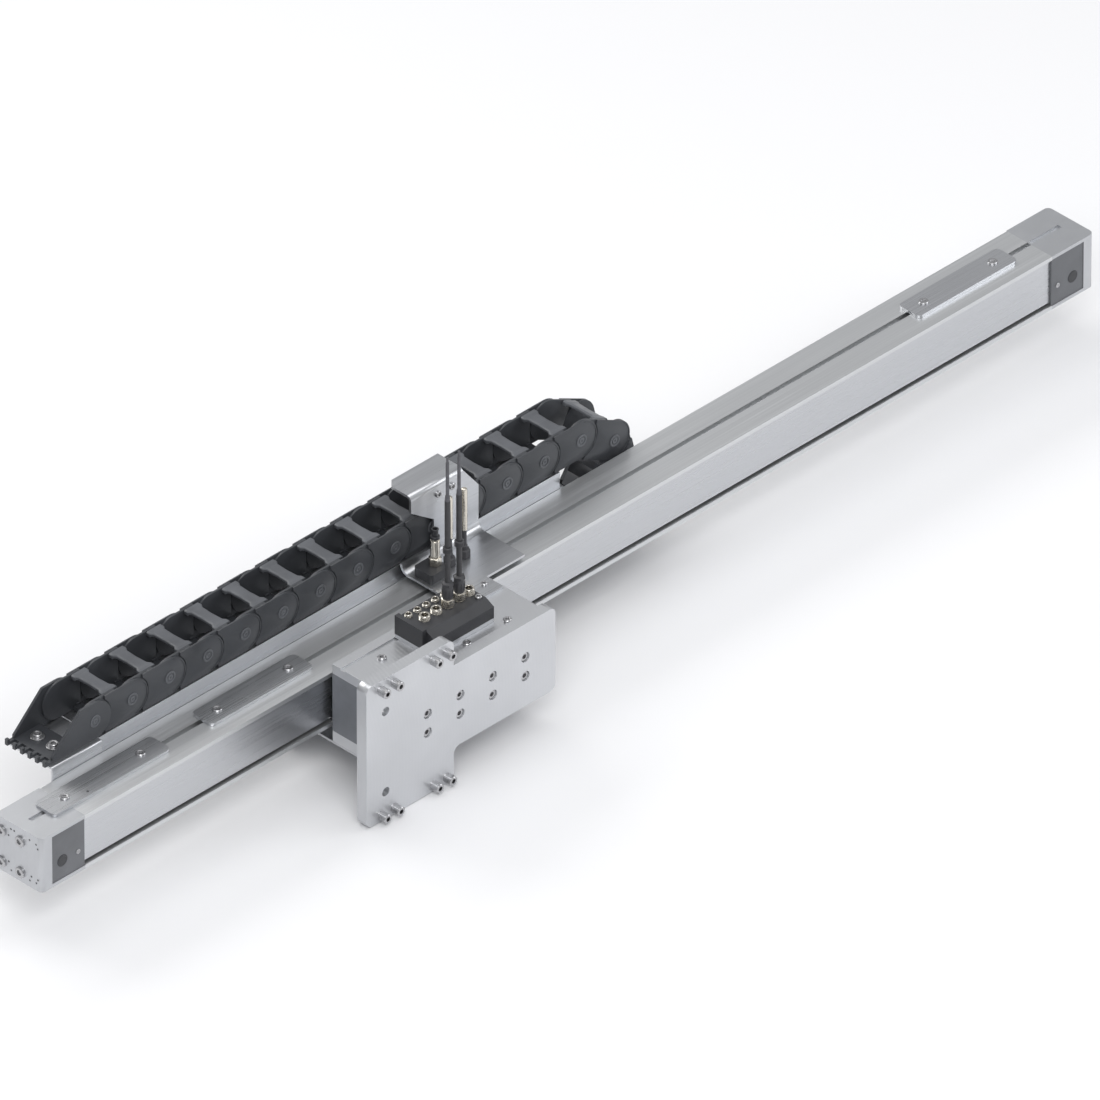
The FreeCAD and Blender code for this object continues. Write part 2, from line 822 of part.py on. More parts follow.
adapter_top = slide_top + D.adapter_thickness
top_blank = span("adapter_top_blank", (slide_start, plate_rear, slide_top),
                 (slide_end, slide_rear, adapter_top))
groove_y = slide_rear - D.adapter_groove_offset - D.adapter_groove_width
top_groove = span("adapter_groove", (slide_start, groove_y, adapter_top - D.adapter_groove_depth),
                  (slide_end, groove_y + D.adapter_groove_width, adapter_top))
node("adapter_top_plate", cut("adapter_top", top_blank, top_groove))

adapter_low = D.slide_bottom - D.adapter_bottom_thickness
bottom_plate = span("adapter_bottom_blank", (slide_start, plate_rear, adapter_low),
                    (slide_end, slide_rear, D.slide_bottom))
node("adapter_bottom_plate", bottom_plate)

# Front plate for the vertical axis, with its screws

tall_width, tall_height = D.plate_tall_width, D.plate_tall_height
step_low, step_high = D.plate_step_below, D.plate_tall_height - D.plate_step_above
radius = D.plate_radius
plate_outline = [
    (0, 0, radius), (tall_width, 0, radius), (tall_width, step_low, radius),
    (D.plate_width, step_low, radius), (D.plate_width, step_high, radius), (tall_width, step_high),
    (tall_width, tall_height, radius), (0, tall_height, radius),
]
plate_left = from_left(D.plate_start)
plate_face = plate_rear - D.plate_thickness
plate_blank = extrusion("front_plate_blank", "xz", [plate_outline], D.plate_thickness,
                        (plate_left, plate_rear, D.plate_bottom))
plate_tools = []
for number, (spot_x, spot_z) in enumerate(fixing_spots):
    plate_tools.append(rod(f"fixing_hole_{number}", (spot_x, plate_face, spot_z), "y",
                           D.fixing_hole_radius, D.fixing_recess))

axis_screws = []
pairs = (D.axis_screw_near, D.axis_screw_near + D.axis_screw_pair,
         D.axis_screw_near + D.axis_screw_far, D.axis_screw_near + D.axis_screw_far + D.axis_screw_pair)
for column, across in enumerate(pairs):
    screw_levels = (D.axis_screw_edge, D.plate_tall_height - D.axis_screw_edge - D.upper_axis_screw_drop)
    for row, up in enumerate(screw_levels):
        spot = (plate_left + across, plate_face - D.axis_screw_proud, D.plate_bottom + up)
        axis_screws.append(rod(f"axis_screw_{column}_{row}", spot, "y",
                               D.axis_screw_radius, D.axis_screw_proud))
node("axis_screws", gather("axis_screws", *axis_screws))
for number, up in enumerate((D.dowel_low, D.dowel_low + D.dowel_pitch)):
    plate_tools.append(rod(f"dowel_hole_{number}", (plate_left + D.dowel_x, plate_face, D.plate_bottom + up),
                           "y", D.dowel_radius, D.plate_thickness))
node("front_plate", cut("front_plate_cut", plate_blank, *plate_tools))

# Distributor on the slide, with its ports, plugs and cables

box_start = from_left(D.box_start)
box_rear = front - D.box_rear
box_low = adapter_top + D.box_base
box_top = adapter_top + D.box_height
base = span("box_base_block", (box_start, box_rear - D.box_depth, adapter_top),
            (box_start + D.box_length, box_rear, box_low))
node("distributor_base", base)
depth, tall = D.box_depth, D.box_height - D.box_base
box_outline = [(0, 0), (depth, 0), (depth, tall, D.box_corner), (D.box_chamfer, tall),
               (0, tall - D.box_chamfer_drop)]
box_blank = extrusion("box_blank", "yz", [box_outline], D.box_length - D.box_end_plate,
                      (box_start + D.box_end_plate, box_rear - depth, box_low))
end_plate = span("box_end", (box_start, box_rear - depth + D.box_chamfer, box_low),
                 (box_start + D.box_end_plate, box_rear, box_top + D.box_end_plate / 2))
front_ports = [box_start + D.port_front_first + number * D.port_pitch for number in range(4)]
front_port_y = front - D.port_front_row
ports = []


def port(name, spot_x, height):
    """A round socket that stands on the box's top."""
    ring = rod(f"{name}_ring", (spot_x, front_port_y, box_top), "z", D.port_radius, height)
    hole = rod(f"{name}_hole", (spot_x, front_port_y, box_top), "z", D.port_bore, height)
    ports.append(cut(name, ring, hole))


for number, spot_x in enumerate(front_ports[:2]):
    port(f"front_port_{number}", spot_x, D.port_height)
port("wide_port", box_start + D.box_length - D.port_wide_place, D.port_wide_height)
node("distributor_ports", gather("distributor_ports", *ports))
node("distributor_block", join("box_whole", box_blank, end_plate))

for side, spot_x in (("left", front_ports[2]), ("right", front_ports[3])):
    nut = hexagon(f"{side}_nut", (spot_x, front_port_y, box_top), "z", D.plug_nut_radius, D.plug_nut_height)
    shell_low = box_top + D.plug_nut_height
    shell = rod(f"{side}_plug_body", (spot_x, front_port_y, shell_low), "z", D.plug_body_radius,
                D.plug_body_height)
    node(f"{side}_sensor_plug", join(f"{side}_plug_whole", nut, shell))
    cable_low = shell_low + D.plug_body_height
    cable = rod(f"{side}_cable_tube", (spot_x, front_port_y, cable_low), "z", D.cable_radius, D.cable_length)
    node(f"{side}_cable", cable)
    tail = rod(f"{side}_tail", (spot_x, front_port_y, cable_low + D.cable_length), "z", D.tail_radius,
               D.tail_length)
    node(f"{side}_cable_tail", tail)

# Bracket that reaches over the beam, with the fitting it carries

sheet_metal = D.bracket_sheet
bend = D.bracket_bend
foot_rear = D.slide_gap
wall_rear = D.bracket_rear + sheet_metal
step_front = 0 - D.slide_gap + D.guide_clearance
foot_front = 0 - D.bracket_foot
low = D.beam_height + D.bracket_above_beam
top = chain_height + D.chain_radius + D.bracket_above_chain
foot_level = adapter_top + sheet_metal
bracket_section = [
    (foot_front, adapter_top), (step_front, adapter_top), (step_front, low),
    (wall_rear, low, bend), (wall_rear, top - sheet_metal, sheet_metal),
    (wall_rear + D.bracket_flange_depth, top - sheet_metal), (wall_rear + D.bracket_flange_depth, top),
    (D.bracket_rear, top, 2 * sheet_metal), (D.bracket_rear, low + sheet_metal, bend - sheet_metal),
    (step_front + sheet_metal, low + sheet_metal), (step_front + sheet_metal, foot_level),
    (foot_front, foot_level),
]
bracket_left = from_left(D.bracket_start)
bracket_width = D.bracket_end - D.bracket_start
bracket_blank = extrusion("bracket_blank", "yz", [bracket_section], bracket_width, (bracket_left, front, 0))
left_rise = D.bracket_wall_start - D.bracket_start
flange_left = D.bracket_flange_start - D.bracket_start
flange_right = D.bracket_flange_end - D.bracket_start
shoulder = top - D.bracket_shoulder_drop
far = D.beam_width * 2
left_trim = extrusion(
    "bracket_left_trim", "xz",
    [[(-1, low + bend), (left_rise, low + bend), (left_rise, shoulder - bend), (flange_left, shoulder + bend),
      (flange_left, top + 1), (-1, top + 1)]],
    far, (bracket_left, front, 0), reverse=True)
right_trim = extrusion(
    "bracket_right_trim", "xz",
    [[(bracket_width, shoulder), (bracket_width + 1, shoulder), (bracket_width + 1, top + 1),
      (flange_right, top + 1), (flange_right, top - sheet_metal)]],
    far, (bracket_left, front, 0), reverse=True)
chamfer = D.bracket_flange_chamfer
flange_end = wall_rear + D.bracket_flange_depth
corner_trim = extrusion(
    "bracket_corner_trim", "xy",
    [[(flange_left - 1, flange_end - chamfer), (flange_left, flange_end - chamfer),
      (flange_left + chamfer, flange_end), (flange_left + chamfer, flange_end + 1),
      (flange_left - 1, flange_end + 1)]],
    bend, (bracket_left, front, top - bend))
foot_trim = span("bracket_foot_trim", (bracket_left + left_rise, front - D.bracket_foot - 1, low - 1),
                 (bracket_left + bracket_width + 1, front + step_front + sheet_metal + 1, foot_level + 1))
node("cable_bracket", cut("bracket_cut", bracket_blank, left_trim, right_trim, corner_trim, foot_trim))

block_x = from_left(D.fitting_block_start)
block_y = from_front(D.fitting_block_place)
block_z = low + sheet_metal
block_size, block_corner = D.fitting_block_size, D.fitting_block_corner
fitting_base = extrusion(
    "fitting_base", "xy",
    [[(0, 0, block_corner), (block_size, 0, block_corner), (block_size, block_size, block_corner),
      (0, block_size, block_corner)]],
    D.fitting_block_height, (block_x, block_y, block_z))
node("fitting_block", fitting_base)
fitting_x = block_x + D.fitting_place
fitting_y = block_y + D.fitting_block_size / 2
fitting_z = block_z + D.fitting_block_height
collar = hexagon("fitting_collar", (fitting_x, fitting_y, fitting_z), "z", D.fitting_collar_radius,
                 D.fitting_collar_height)
stem = rod("fitting_stem", (fitting_x, fitting_y, fitting_z), "z", D.fitting_radius, D.fitting_height)
node("air_fitting", join("fitting_whole", collar, stem))

# Energy chain: one link, then its copies along the upper run, the bend and the lower run

pitch = D.chain_pitch.value
lug = D.chain_radius.value
leaf = D.chain_plate.value
chain_near = rear + D.chain_clearance
chain_y = chain_near.value
chain_width = D.chain_width.value
chain_z = chain_height.value
first_hinge_x = from_left(D.chain_first_hinge).value
leaf_gap = D.chain_gap.value
OUTER_FLATS = 8
INNER_FLATS = 3


def lug_face(straight, hinge, at_y, flats):
    """A leaf of a side plate in the XZ plane: straight at one end, a lug of a few flats about its hinge."""
    side = 1 if hinge > straight else -1
    steps = round(flats)
    outline = [Vector(straight, at_y, lug), Vector(straight, at_y, -lug)]
    for step in range(steps + 1):
        turned = math.pi * step / steps
        outline.append(Vector(hinge + side * lug * math.sin(turned), at_y, -lug * math.cos(turned)))
    return Part.Face(Part.makePolygon(outline + outline[:1]))


def side_plate(outer_y, inward):
    """A cranked plate: an inner lug on the first hinge, an outer lug over the next one's on the second."""
    outer = lug_face(lug + leaf_gap, pitch, outer_y, OUTER_FLATS).extrude(Vector(0, inward * leaf, 0))
    inner_end = pitch - lug - leaf_gap
    inner = lug_face(inner_end, 0, outer_y + inward * (leaf + leaf_gap / 2), INNER_FLATS)
    inner = inner.extrude(Vector(0, inward * (leaf - leaf_gap / 2), 0))
    bridge_length = inner_end - lug - leaf_gap
    bridge_low = Vector(lug + leaf_gap, min(outer_y, outer_y + inward * leaf), -lug)
    bridge = Part.makeBox(bridge_length, leaf, 2 * lug, bridge_low)
    bridge.translate(Vector(0, inward * leaf / 2, 0))
    return outer.fuse([inner, bridge]).removeSplitter()


def cross_bar(height, thickness, length, proud):
    """A flat bar across the link, centred between its hinges."""
    return Part.makeBox(length, chain_width - 4 * leaf + 2 * proud, thickness,
                        Vector((pitch - length) / 2, 2 * leaf - proud, height))


def link_shape():
    """A link: two side plates and the fixed bar on the inside of the bend."""
    bar = cross_bar(-lug, D.chain_bar_thickness.value, D.chain_bar_length.value, 0)
    near = side_plate(0, 1)
    far = side_plate(chain_width, -1)
    return near.fuse([far, bar]).removeSplitter()


def open_bar_shape():
    """The openable bar on the outside of the bend."""
    thickness = D.chain_bar_thickness.value
    return cross_bar(lug - thickness, thickness, D.chain_open_bar_length.value, -leaf_gap / 2)


def copies(shape, hinges):
    """The shape at each hinge, given as (x, z, turn in degrees)."""
    placed = []
    for hinge_x, hinge_z, turn in hinges:
        copy = shape.copy()
        spot = Vector(hinge_x, chain_y, hinge_z)
        copy.Placement = Placement(spot, Rotation(Vector(0, 1, 0), turn)).multiply(copy.Placement)
        placed.append(copy)
    return Part.makeCompound(placed)


upper_count = round(D.chain_upper_count.value)
lower_count = round(D.chain_lower_count.value)
upper_hinges = [(first_hinge_x + number * pitch, chain_z, 0) for number in range(upper_count)]
bend_x = first_hinge_x + upper_count * pitch
bend_hinges = []
hinge_x, hinge_z, turn = bend_x, chain_z, D.chain_first_turn.value
while turn < 180:
    bend_hinges.append((hinge_x, hinge_z, turn))
    hinge_x += pitch * math.cos(math.radians(turn))
    hinge_z -= pitch * math.sin(math.radians(turn))
    turn += D.chain_turn.value
lower_z = hinge_z
lower_hinges = [(hinge_x - number * pitch, lower_z, 180) for number in range(lower_count)]
moving_hinge_x = hinge_x - lower_count * pitch
link = link_shape()
open_bar = open_bar_shape()
for run, hinges in (("upper", upper_hinges), ("loop", bend_hinges), ("lower", lower_hinges)):
    node(f"chain_{run}_links", computed(f"chain_{run}_links", copies(link, hinges)))
    node(f"chain_{run}_bars", computed(f"chain_{run}_bars", copies(open_bar, hinges)))


def connector_shape(at_first_hinge):
    """An end connector: a floor and two sloped cheeks with a lug each.

    It reaches back from the hinge at the origin. Where the chain starts the cheeks carry outer lugs and
    the floor ends in a strain-relief comb; where it ends they carry inner lugs.
    """
    length = D.connector_length.value
    floor = D.chain_floor.value
    slope_start = D.connector_slope_start.value
    cheek_end = D.connector_end_height.value - lug
    shift = 0 if at_first_hinge else leaf + leaf_gap / 2
    thickness = leaf if at_first_hinge else leaf - leaf_gap / 2
    solids = []
    for outer_y, inward in ((0, 1), (chain_width, -1)):
        at_y = outer_y + inward * shift
        outline = [Vector(-length, at_y, -lug), Vector(0, at_y, -lug), Vector(0, at_y, lug),
                   Vector(-slope_start, at_y, lug), Vector(-length, at_y, cheek_end)]
        edges = [
            Part.LineSegment(outline[0], outline[1]).toShape(),
            Part.Arc(outline[1], Vector(lug, at_y, 0), outline[2]).toShape(),
            Part.LineSegment(outline[2], outline[3]).toShape(),
            Part.LineSegment(outline[3], outline[4]).toShape(),
            Part.LineSegment(outline[4], outline[0]).toShape(),
        ]
        cheek = Part.Face(Part.Wire(edges)).extrude(Vector(0, inward * thickness, 0))
        solids.append(cheek)
    inner = chain_width - 2 * shift
    floor_end = -lug - 3 * leaf_gap
    solids.append(Part.makeBox(length + floor_end, inner, floor, Vector(-length, shift, -lug)))
    comb_step = (inner - D.comb_width.value) / (D.comb_teeth.value - 1)
    for tooth in range(round(D.comb_teeth.value) if at_first_hinge else 0):
        solids.append(Part.makeBox(D.comb_length.value, D.comb_width.value, floor,
                                   Vector(-length - D.comb_length.value, shift + tooth * comb_step, -lug)))
        solids.append(Part.makeBox(floor, D.comb_width.value, floor * 2,
                                   Vector(-length - D.comb_length.value, shift + tooth * comb_step, -lug)))
    return solids[0].fuse(solids[1:]).removeSplitter()


fixed_end = connector_shape(True)
fixed_end.translate(Vector(first_hinge_x, chain_y, chain_z))
node("chain_fixed_end", computed("chain_fixed_end", fixed_end))
moving_end = connector_shape(False)
moving_end.translate(Vector(moving_hinge_x, chain_y, lower_z))
node("chain_moving_end", computed("chain_moving_end", moving_end))

# Supports of the chain on the beam's rear face

gauge = D.sheet_thickness
chain_bottom = chain_height - D.chain_radius
seat_level = chain_bottom - D.chain_seat
rear_depth = D.beam_width
jog = D.beam_height - D.rail_jog_drop
window_top = D.beam_height - D.rail_window_drop
tab_low = rear_slot_z - D.rail_tab_below_slot
end_low = rear_slot_z - D.end_bracket_below_slot
end_section = [
    (rear_depth, end_low), (rear_depth + gauge, end_low),
    (rear_depth + gauge, chain_bottom - gauge), (D.support_rear, chain_bottom - gauge),
    (D.support_rear, chain_bottom), (rear_depth, chain_bottom, gauge),
]
bracket_span = D.end_bracket_end - D.end_bracket_start
end_blank = extrusion("end_bracket_blank", "yz", [end_section], bracket_span,
                      (from_left(D.end_bracket_start), front, 0))
rail_section = [
    (rear_depth, tab_low), (rear_depth + gauge, tab_low),
    (rear_depth + gauge, jog), (D.rail_riser + gauge, jog),
    (D.rail_riser + gauge, seat_level - gauge), (D.support_rear, seat_level - gauge),
    (D.support_rear, seat_level), (D.rail_riser, seat_level), (D.rail_riser, jog + gauge),
    (rear_depth, jog + gauge),
]
rail_start = D.end_bracket_end + D.rail_gap
rail_length = D.rail_end - rail_start
rail_blank = extrusion("rail_blank", "yz", [rail_section], rail_length, (from_left(rail_start), front, 0))
tab_tools = []
tab_pitch = rail_length / D.rail_tab_count
for number in range(round(D.rail_tab_count.value)):
    tab_middle = from_left(rail_start) + tab_pitch * number + tab_pitch / 2
    gap_start = from_left(rail_start) - 1 if number == 0 else tab_middle - tab_pitch + D.rail_tab_width / 2
    tab_tools.append(span(f"rail_window_{number}", (gap_start, rear - 1, tab_low - 1),
                          (tab_middle - D.rail_tab_width / 2, rear + gauge + 1, window_top)))
last_tab_end = from_left(D.rail_end) - tab_pitch / 2 + D.rail_tab_width / 2
tab_tools.append(span("rail_window_last", (last_tab_end, rear - 1, tab_low - 1),
                      (from_left(D.rail_end) + 1, rear + gauge + 1, window_top)))
corner_radius = D.rail_end_radius
corner_z = window_top + corner_radius
corner_block = span("rail_corner_block", (from_left(D.rail_end) - corner_radius, rear - 1, window_top - 1),
                    (from_left(D.rail_end) + 1, rear + D.rail_riser, corner_z))
corner_round = rod("rail_corner_round", (from_left(D.rail_end) - corner_radius, rear - 1, corner_z), "y",
                   corner_radius, D.rail_riser + 1)
tab_tools.append(cut("rail_corner", corner_block, corner_round))
node("chain_rail", cut("rail_cut", rail_blank, *tab_tools))

node("chain_end_bracket", end_blank)

# Plate below the beam that pulls the chain's moving end

driver_top = adapter_low
driver_under = driver_top - D.driver_sheet
moving_floor = size(lower_z) - D.chain_radius
drop_low = moving_floor - D.driver_sheet
riser_depth = D.driver_riser
driver_section = [
    (0 - D.driver_front, driver_under), (riser_depth, driver_under), (riser_depth, drop_low),
    (D.support_rear, drop_low), (D.support_rear, moving_floor),
    (riser_depth + D.driver_sheet, moving_floor), (riser_depth + D.driver_sheet, driver_top),
    (0 - D.driver_front, driver_top),
]
driver_blank = extrusion("driver_blank", "yz", [driver_section], D.driver_length, (slide_start, front, 0))
node("chain_driver_plate", driver_blank)

# Check and export

doc.recompute()
failed = []
for thing in doc.Objects:
    if "Invalid" in thing.State or "Error" in thing.State:
        failed.append(thing.Name)
for name, thing in NODES.items():
    if thing.Shape.isNull() or not thing.Shape.isValid() or not thing.Shape.Solids:
        failed.append(name)
if failed:
    raise RuntimeError("These did not build: " + ", ".join(failed))
for name, thing in NODES.items():
    thing.Shape.exportStep(f"parts/{name}.step")
print(len(NODES), "sub-parts written")
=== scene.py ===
"""Two-axis handling module: materials, detailed pieces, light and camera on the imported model."""
import json
import math

import bmesh
import bpy
from mathutils import Matrix, Vector


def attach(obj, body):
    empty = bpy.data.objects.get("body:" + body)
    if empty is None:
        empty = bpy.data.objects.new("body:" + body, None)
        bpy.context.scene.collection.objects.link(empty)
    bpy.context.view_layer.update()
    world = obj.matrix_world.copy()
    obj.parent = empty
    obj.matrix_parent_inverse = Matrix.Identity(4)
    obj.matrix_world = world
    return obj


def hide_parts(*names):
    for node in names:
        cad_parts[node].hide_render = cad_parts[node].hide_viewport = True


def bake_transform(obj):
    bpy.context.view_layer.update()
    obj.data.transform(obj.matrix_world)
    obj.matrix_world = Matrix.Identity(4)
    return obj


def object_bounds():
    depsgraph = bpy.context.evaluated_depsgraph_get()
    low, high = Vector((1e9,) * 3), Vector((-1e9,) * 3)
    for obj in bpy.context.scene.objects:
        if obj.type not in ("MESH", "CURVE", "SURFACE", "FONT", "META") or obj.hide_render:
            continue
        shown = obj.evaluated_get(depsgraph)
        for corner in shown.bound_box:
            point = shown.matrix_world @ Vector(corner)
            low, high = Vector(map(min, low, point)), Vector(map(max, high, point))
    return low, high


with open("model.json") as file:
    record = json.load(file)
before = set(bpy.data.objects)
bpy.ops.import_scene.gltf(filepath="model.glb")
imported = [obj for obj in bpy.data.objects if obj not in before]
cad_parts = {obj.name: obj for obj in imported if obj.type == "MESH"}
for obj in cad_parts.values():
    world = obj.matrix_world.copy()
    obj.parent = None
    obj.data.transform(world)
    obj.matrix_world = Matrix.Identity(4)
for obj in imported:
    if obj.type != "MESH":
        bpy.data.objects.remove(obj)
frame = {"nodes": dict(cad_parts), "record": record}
cad_low, cad_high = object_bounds()
MM = 0.001

# Camera: the drawing's isometric view, far away through a long lens so that edges stay parallel

VIEW_TARGET = Vector((0.6245, 0.0, 0.0249))
VIEW_WIDTH = 0.964
LENS = 1200
SENSOR = 36
camera_data = bpy.data.cameras.new("camera")
camera_data.lens = LENS
camera_data.sensor_width = SENSOR
camera_data.clip_start = 0.1
camera_data.clip_end = 400
camera = bpy.data.objects.new("camera", camera_data)
bpy.context.scene.collection.objects.link(camera)
towards = Vector((1, 1, -1)).normalized()
camera.location = VIEW_TARGET - towards * (VIEW_WIDTH * LENS / SENSOR)
camera.rotation_euler = towards.to_track_quat("-Z", "Y").to_euler()
bpy.context.scene.camera = camera

# Places and sizes in millimetres, in the frame of the solids: beam and end caps

LEFT_FACE = -26.5
RIGHT_FACE = 1277.5
END_SCREWS_Y = (-2.5, 20.5)
END_SCREWS_Z = (10, 43)
END_MARKS = [(-24, 12), (-24, 45), (-22, 8), (-22, 49), (-14, 7), (-14, 50), (-16, 12), (9, 6), (9, 50),
             (12, 14), (12, 42), (5, 50)]
SLOT_PLATE_TOP = 60
SLOT_SCREWS_X = (29.25, 121.75, 215, 302, 1091, 1178)
PILOT_SPOT = (50, -7.95, SLOT_PLATE_TOP)
CLAMP_FACE = -27.7
CLAMP_MIDDLE = 22
CLAMP_SCREWS_X = (18.5, 1232.5)
BLANKS_X = (-0.5, 1251.5)
SUPPORT_FACE = 30.5
SUPPORT_SCREWS_X = (58.1, 88.4, 198.8, 387.5, 576.2)
SUPPORT_SCREWS_Z = 20

# Plates and connection box on the slide

PLATE_FACE = -112.8
PLATE_RECESS = 6.8
PLATE_HOLES_X = (361.5, 401.5, 441.5, 481.5)
PLATE_HOLES_Z = (18, 38)
AXIS_SCREWS_X = (303.9, 320.1, 368.1, 384.3)
AXIS_SCREWS_Z = (-41.2, 92.2)
ADAPTER_TOP = 69
ADAPTER_SCREWS = [(361, -56.5), (428.8, -93.5), (478.5, -93.5)]
DRIVER_UNDER = -15.7
DRIVER_SCREWS_X = (342.8, 396.2)
DRIVER_SCREWS_Y = -40.5
BOX_TOP = 90
BOX_SCREW = (464.3, -72, BOX_TOP)
PORT_Y = -61.5
PORTS = [(408.5, 5), (422.7, 5), (463, 6.3)]
PORT_RADIUS = 5.2
REAR_PORT_Y = -48.5
REAR_PORTS_X = (401.5, 412.5, 423.5, 434.5, 445.5)
REAR_PORT_RADIUS = 3.6
REAR_PORT_HEIGHT = 3
PORT_BORE = 0.6
PORT_FLOOR = 0.4

# Bracket over the beam, with its fitting and silencers

BRACKET_SHEET = 2.5
BRACKET_SCREWS_X = (480.9, 500.6)
BRACKET_SCREWS_Y = -42.5
BRACKET_WALL_FACE = 29.4
BRACKET_WALL_SCREWS_X = (515.3, 532.4)
BRACKET_WALL_SCREWS_Z = 125
BRACKET_FOOT_TOP = 63.7
FITTING = (490.25, 7.75, 73.1)
SILENCERS_X = (508.2, 526.2)

# Plugs and cables

PLUG_SPOTS = {"left": 436.9, "right": 451.1}
PLUG_NUT_HEIGHT = 9
PLUG_BODY_HEIGHT = 13
PLUG_RING_HEIGHT = 4
CABLE_LOW = BOX_TOP + PLUG_NUT_HEIGHT + PLUG_BODY_HEIGHT + PLUG_RING_HEIGHT
CABLE_LENGTH = 86
CABLE_RADIUS = 2.6
CABLE_STEPS = 4
LEAD_RADIUS = 1.6
LEAD_LENGTH = 46
SLEEVE_PLACE = 31
SLEEVE_HEIGHT = 6

# Energy chain

CHAIN_NEAR = 33.8
CHAIN_WIDTH = 50
CHAIN_PITCH = 46
CHAIN_LUG = 19.3
CHAIN_LEAF = 2.5
CHAIN_GAP = 0.4
CHAIN_HINGE = (100.2, 88.4)
UPPER_LINKS = 13
LOWER_LINKS = 6
FIRST_TURN = 26.6
TURN = 49.4
HOLLOW_GAP = 0.9
HOLLOW_TURN = 50
PIN_PROUD = 0.95
RIM_INSET = 0.9
RIM_WIDTH = 0.8
RIM_PROUD = 0.45
RIB_HEIGHT = 1.8
BAR_LENGTH = 13
BAR_THICKNESS = 3.2
BAR_CHAMFER = 1.4
BAR_HALF_END = 9.0
BAR_HALF_NECK = 6.7
BAR_HALF_WAIST = 6.1
CONNECTOR_FLOOR = 72.1
CONNECTOR_SCREWS_X = 64
CONNECTOR_SCREWS_Y = (CHAIN_NEAR + 15, CHAIN_NEAR + 35)
WASHER_HEIGHT = 1.2


# Node materials

class Nodes:
    """A new material with a short way to add and join nodes."""

    def __init__(self, name):
        self.material = bpy.data.materials.new(name)
        self.material.use_nodes = True
        self.tree = self.material.node_tree
        self.shader = self.tree.nodes["Principled BSDF"]
        self.coordinates = self.add("ShaderNodeTexCoord").outputs["Object"]

    def add(self, kind, inputs=None, **settings):
        """A node of a kind; its inputs are values, or sockets to be linked."""
        added = self.tree.nodes.new(kind)
        for key, value in settings.items():
            setattr(added, key, value)
        for key, value in (inputs or {}).items():
            if isinstance(value, bpy.types.NodeSocket):
                self.tree.links.new(value, added.inputs[key])
            else:
                added.inputs[key].default_value = value
        return added

    def stretched(self, scale):
        """Object coordinates with a scale of their own for each axis."""
        inputs = {"Vector": self.coordinates, "Scale": scale}
        return self.add("ShaderNodeMapping", inputs).outputs["Vector"]

    def noise(self, scale, detail=3.0, at=None, roughness=0.55):
        """Cloudy noise between 0 and 1."""
        vector = self.coordinates if at is None else at
        inputs = {"Vector": vector, "Scale": scale, "Detail": detail, "Roughness": roughness}
        return self.add("ShaderNodeTexNoise", inputs).outputs["Fac"]

    def between(self, factor, low, high, start=0.3, stop=0.7):
        """Maps a factor from start..stop to low..high."""
        inputs = {"Value": factor, "From Min": start, "From Max": stop, "To Min": low, "To Max": high}
        return self.add("ShaderNodeMapRange", inputs).outputs["Result"]

    def blend(self, factor, first, second):
        """A colour between two colours."""
        added = self.add("ShaderNodeMix", data_type="RGBA")
        self.tree.links.new(factor, added.inputs["Factor"])
        for socket, value in (("A", first), ("B", second)):
            target = [item for item in added.inputs if item.name == socket and item.type == "RGBA"][0]
            if isinstance(value, bpy.types.NodeSocket):
                self.tree.links.new(value, target)
            else:
                target.default_value = (*value, 1)
        return [item for item in added.outputs if item.type == "RGBA"][0]

    def bump(self, height, strength, distance, below=None):
        """A normal from a height, over the bump below it."""
        inputs = {"Height": height, "Strength": strength, "Distance": distance}
        if below is not None:
            inputs["Normal"] = below
        return self.add("ShaderNodeBump", inputs).outputs["Normal"]

    def finish(self, color, roughness, normal, metallic=0.0, **constants):
        """Links what varies to the shader and sets what is constant on its own sockets."""
        self.tree.links.new(color, self.shader.inputs["Base Color"])
        self.tree.links.new(roughness, self.shader.inputs["Roughness"])
        self.tree.links.new(normal, self.shader.inputs["Normal"])
        self.shader.inputs["Metallic"].default_value = metallic
        for key, value in constants.items():
            self.shader.inputs[key.replace("_", " ")].default_value = value
        return self.material


FINE_RELIEF = 0.00002
RELIEF = 0.00003
COARSE_RELIEF = 0.00005
ANODISED = 0.85


def shade(color, factor):
    """A lighter or darker colour."""
    return tuple(min(1.0, channel * factor) for channel in color)


def grained_metal(name, color, grain, roughness, metallic=0.9, contrast=0.08, **constants):
    """Metal with fine lines; grain is the coordinate scale, small along the lines and large across them."""
    nodes = Nodes(name)
    lines = nodes.noise(1.0, 4.0, nodes.stretched(grain), 0.7)
    broad = nodes.noise(9.0, 3.0)
    fine = nodes.noise(1400.0, 2.0)
    dark = shade(color, 1 - contrast)
    tone = nodes.blend(nodes.between(lines, 0, 1), dark, shade(color, 1 + contrast / 2))
    tone = nodes.blend(nodes.between(broad, 0, 0.35), tone, dark)
    rough = nodes.between(lines, roughness - 0.07, roughness + 0.09)
    normal = nodes.bump(lines, 0.25, FINE_RELIEF)
    normal = nodes.bump(fine, 0.12, FINE_RELIEF, normal)
    return nodes.finish(tone, rough, normal, metallic, **constants)


def blasted_metal(name, color, roughness):
    """Bead-blasted and anodised metal: an even fine grain with faint handling marks."""
    nodes = Nodes(name)
    fine = nodes.noise(1900.0, 3.0)
    broad = nodes.noise(14.0, 4.0)
    marks = nodes.noise(1.0, 5.0, nodes.stretched((60, 420, 90)), 0.75)
    tone = nodes.blend(nodes.between(broad, 0, 1), shade(color, 0.95), shade(color, 1.03))
    rough = nodes.between(marks, roughness - 0.05, roughness + 0.08, 0.35, 0.75)
    return nodes.finish(tone, rough, nodes.bump(fine, 0.22, RELIEF), ANODISED)


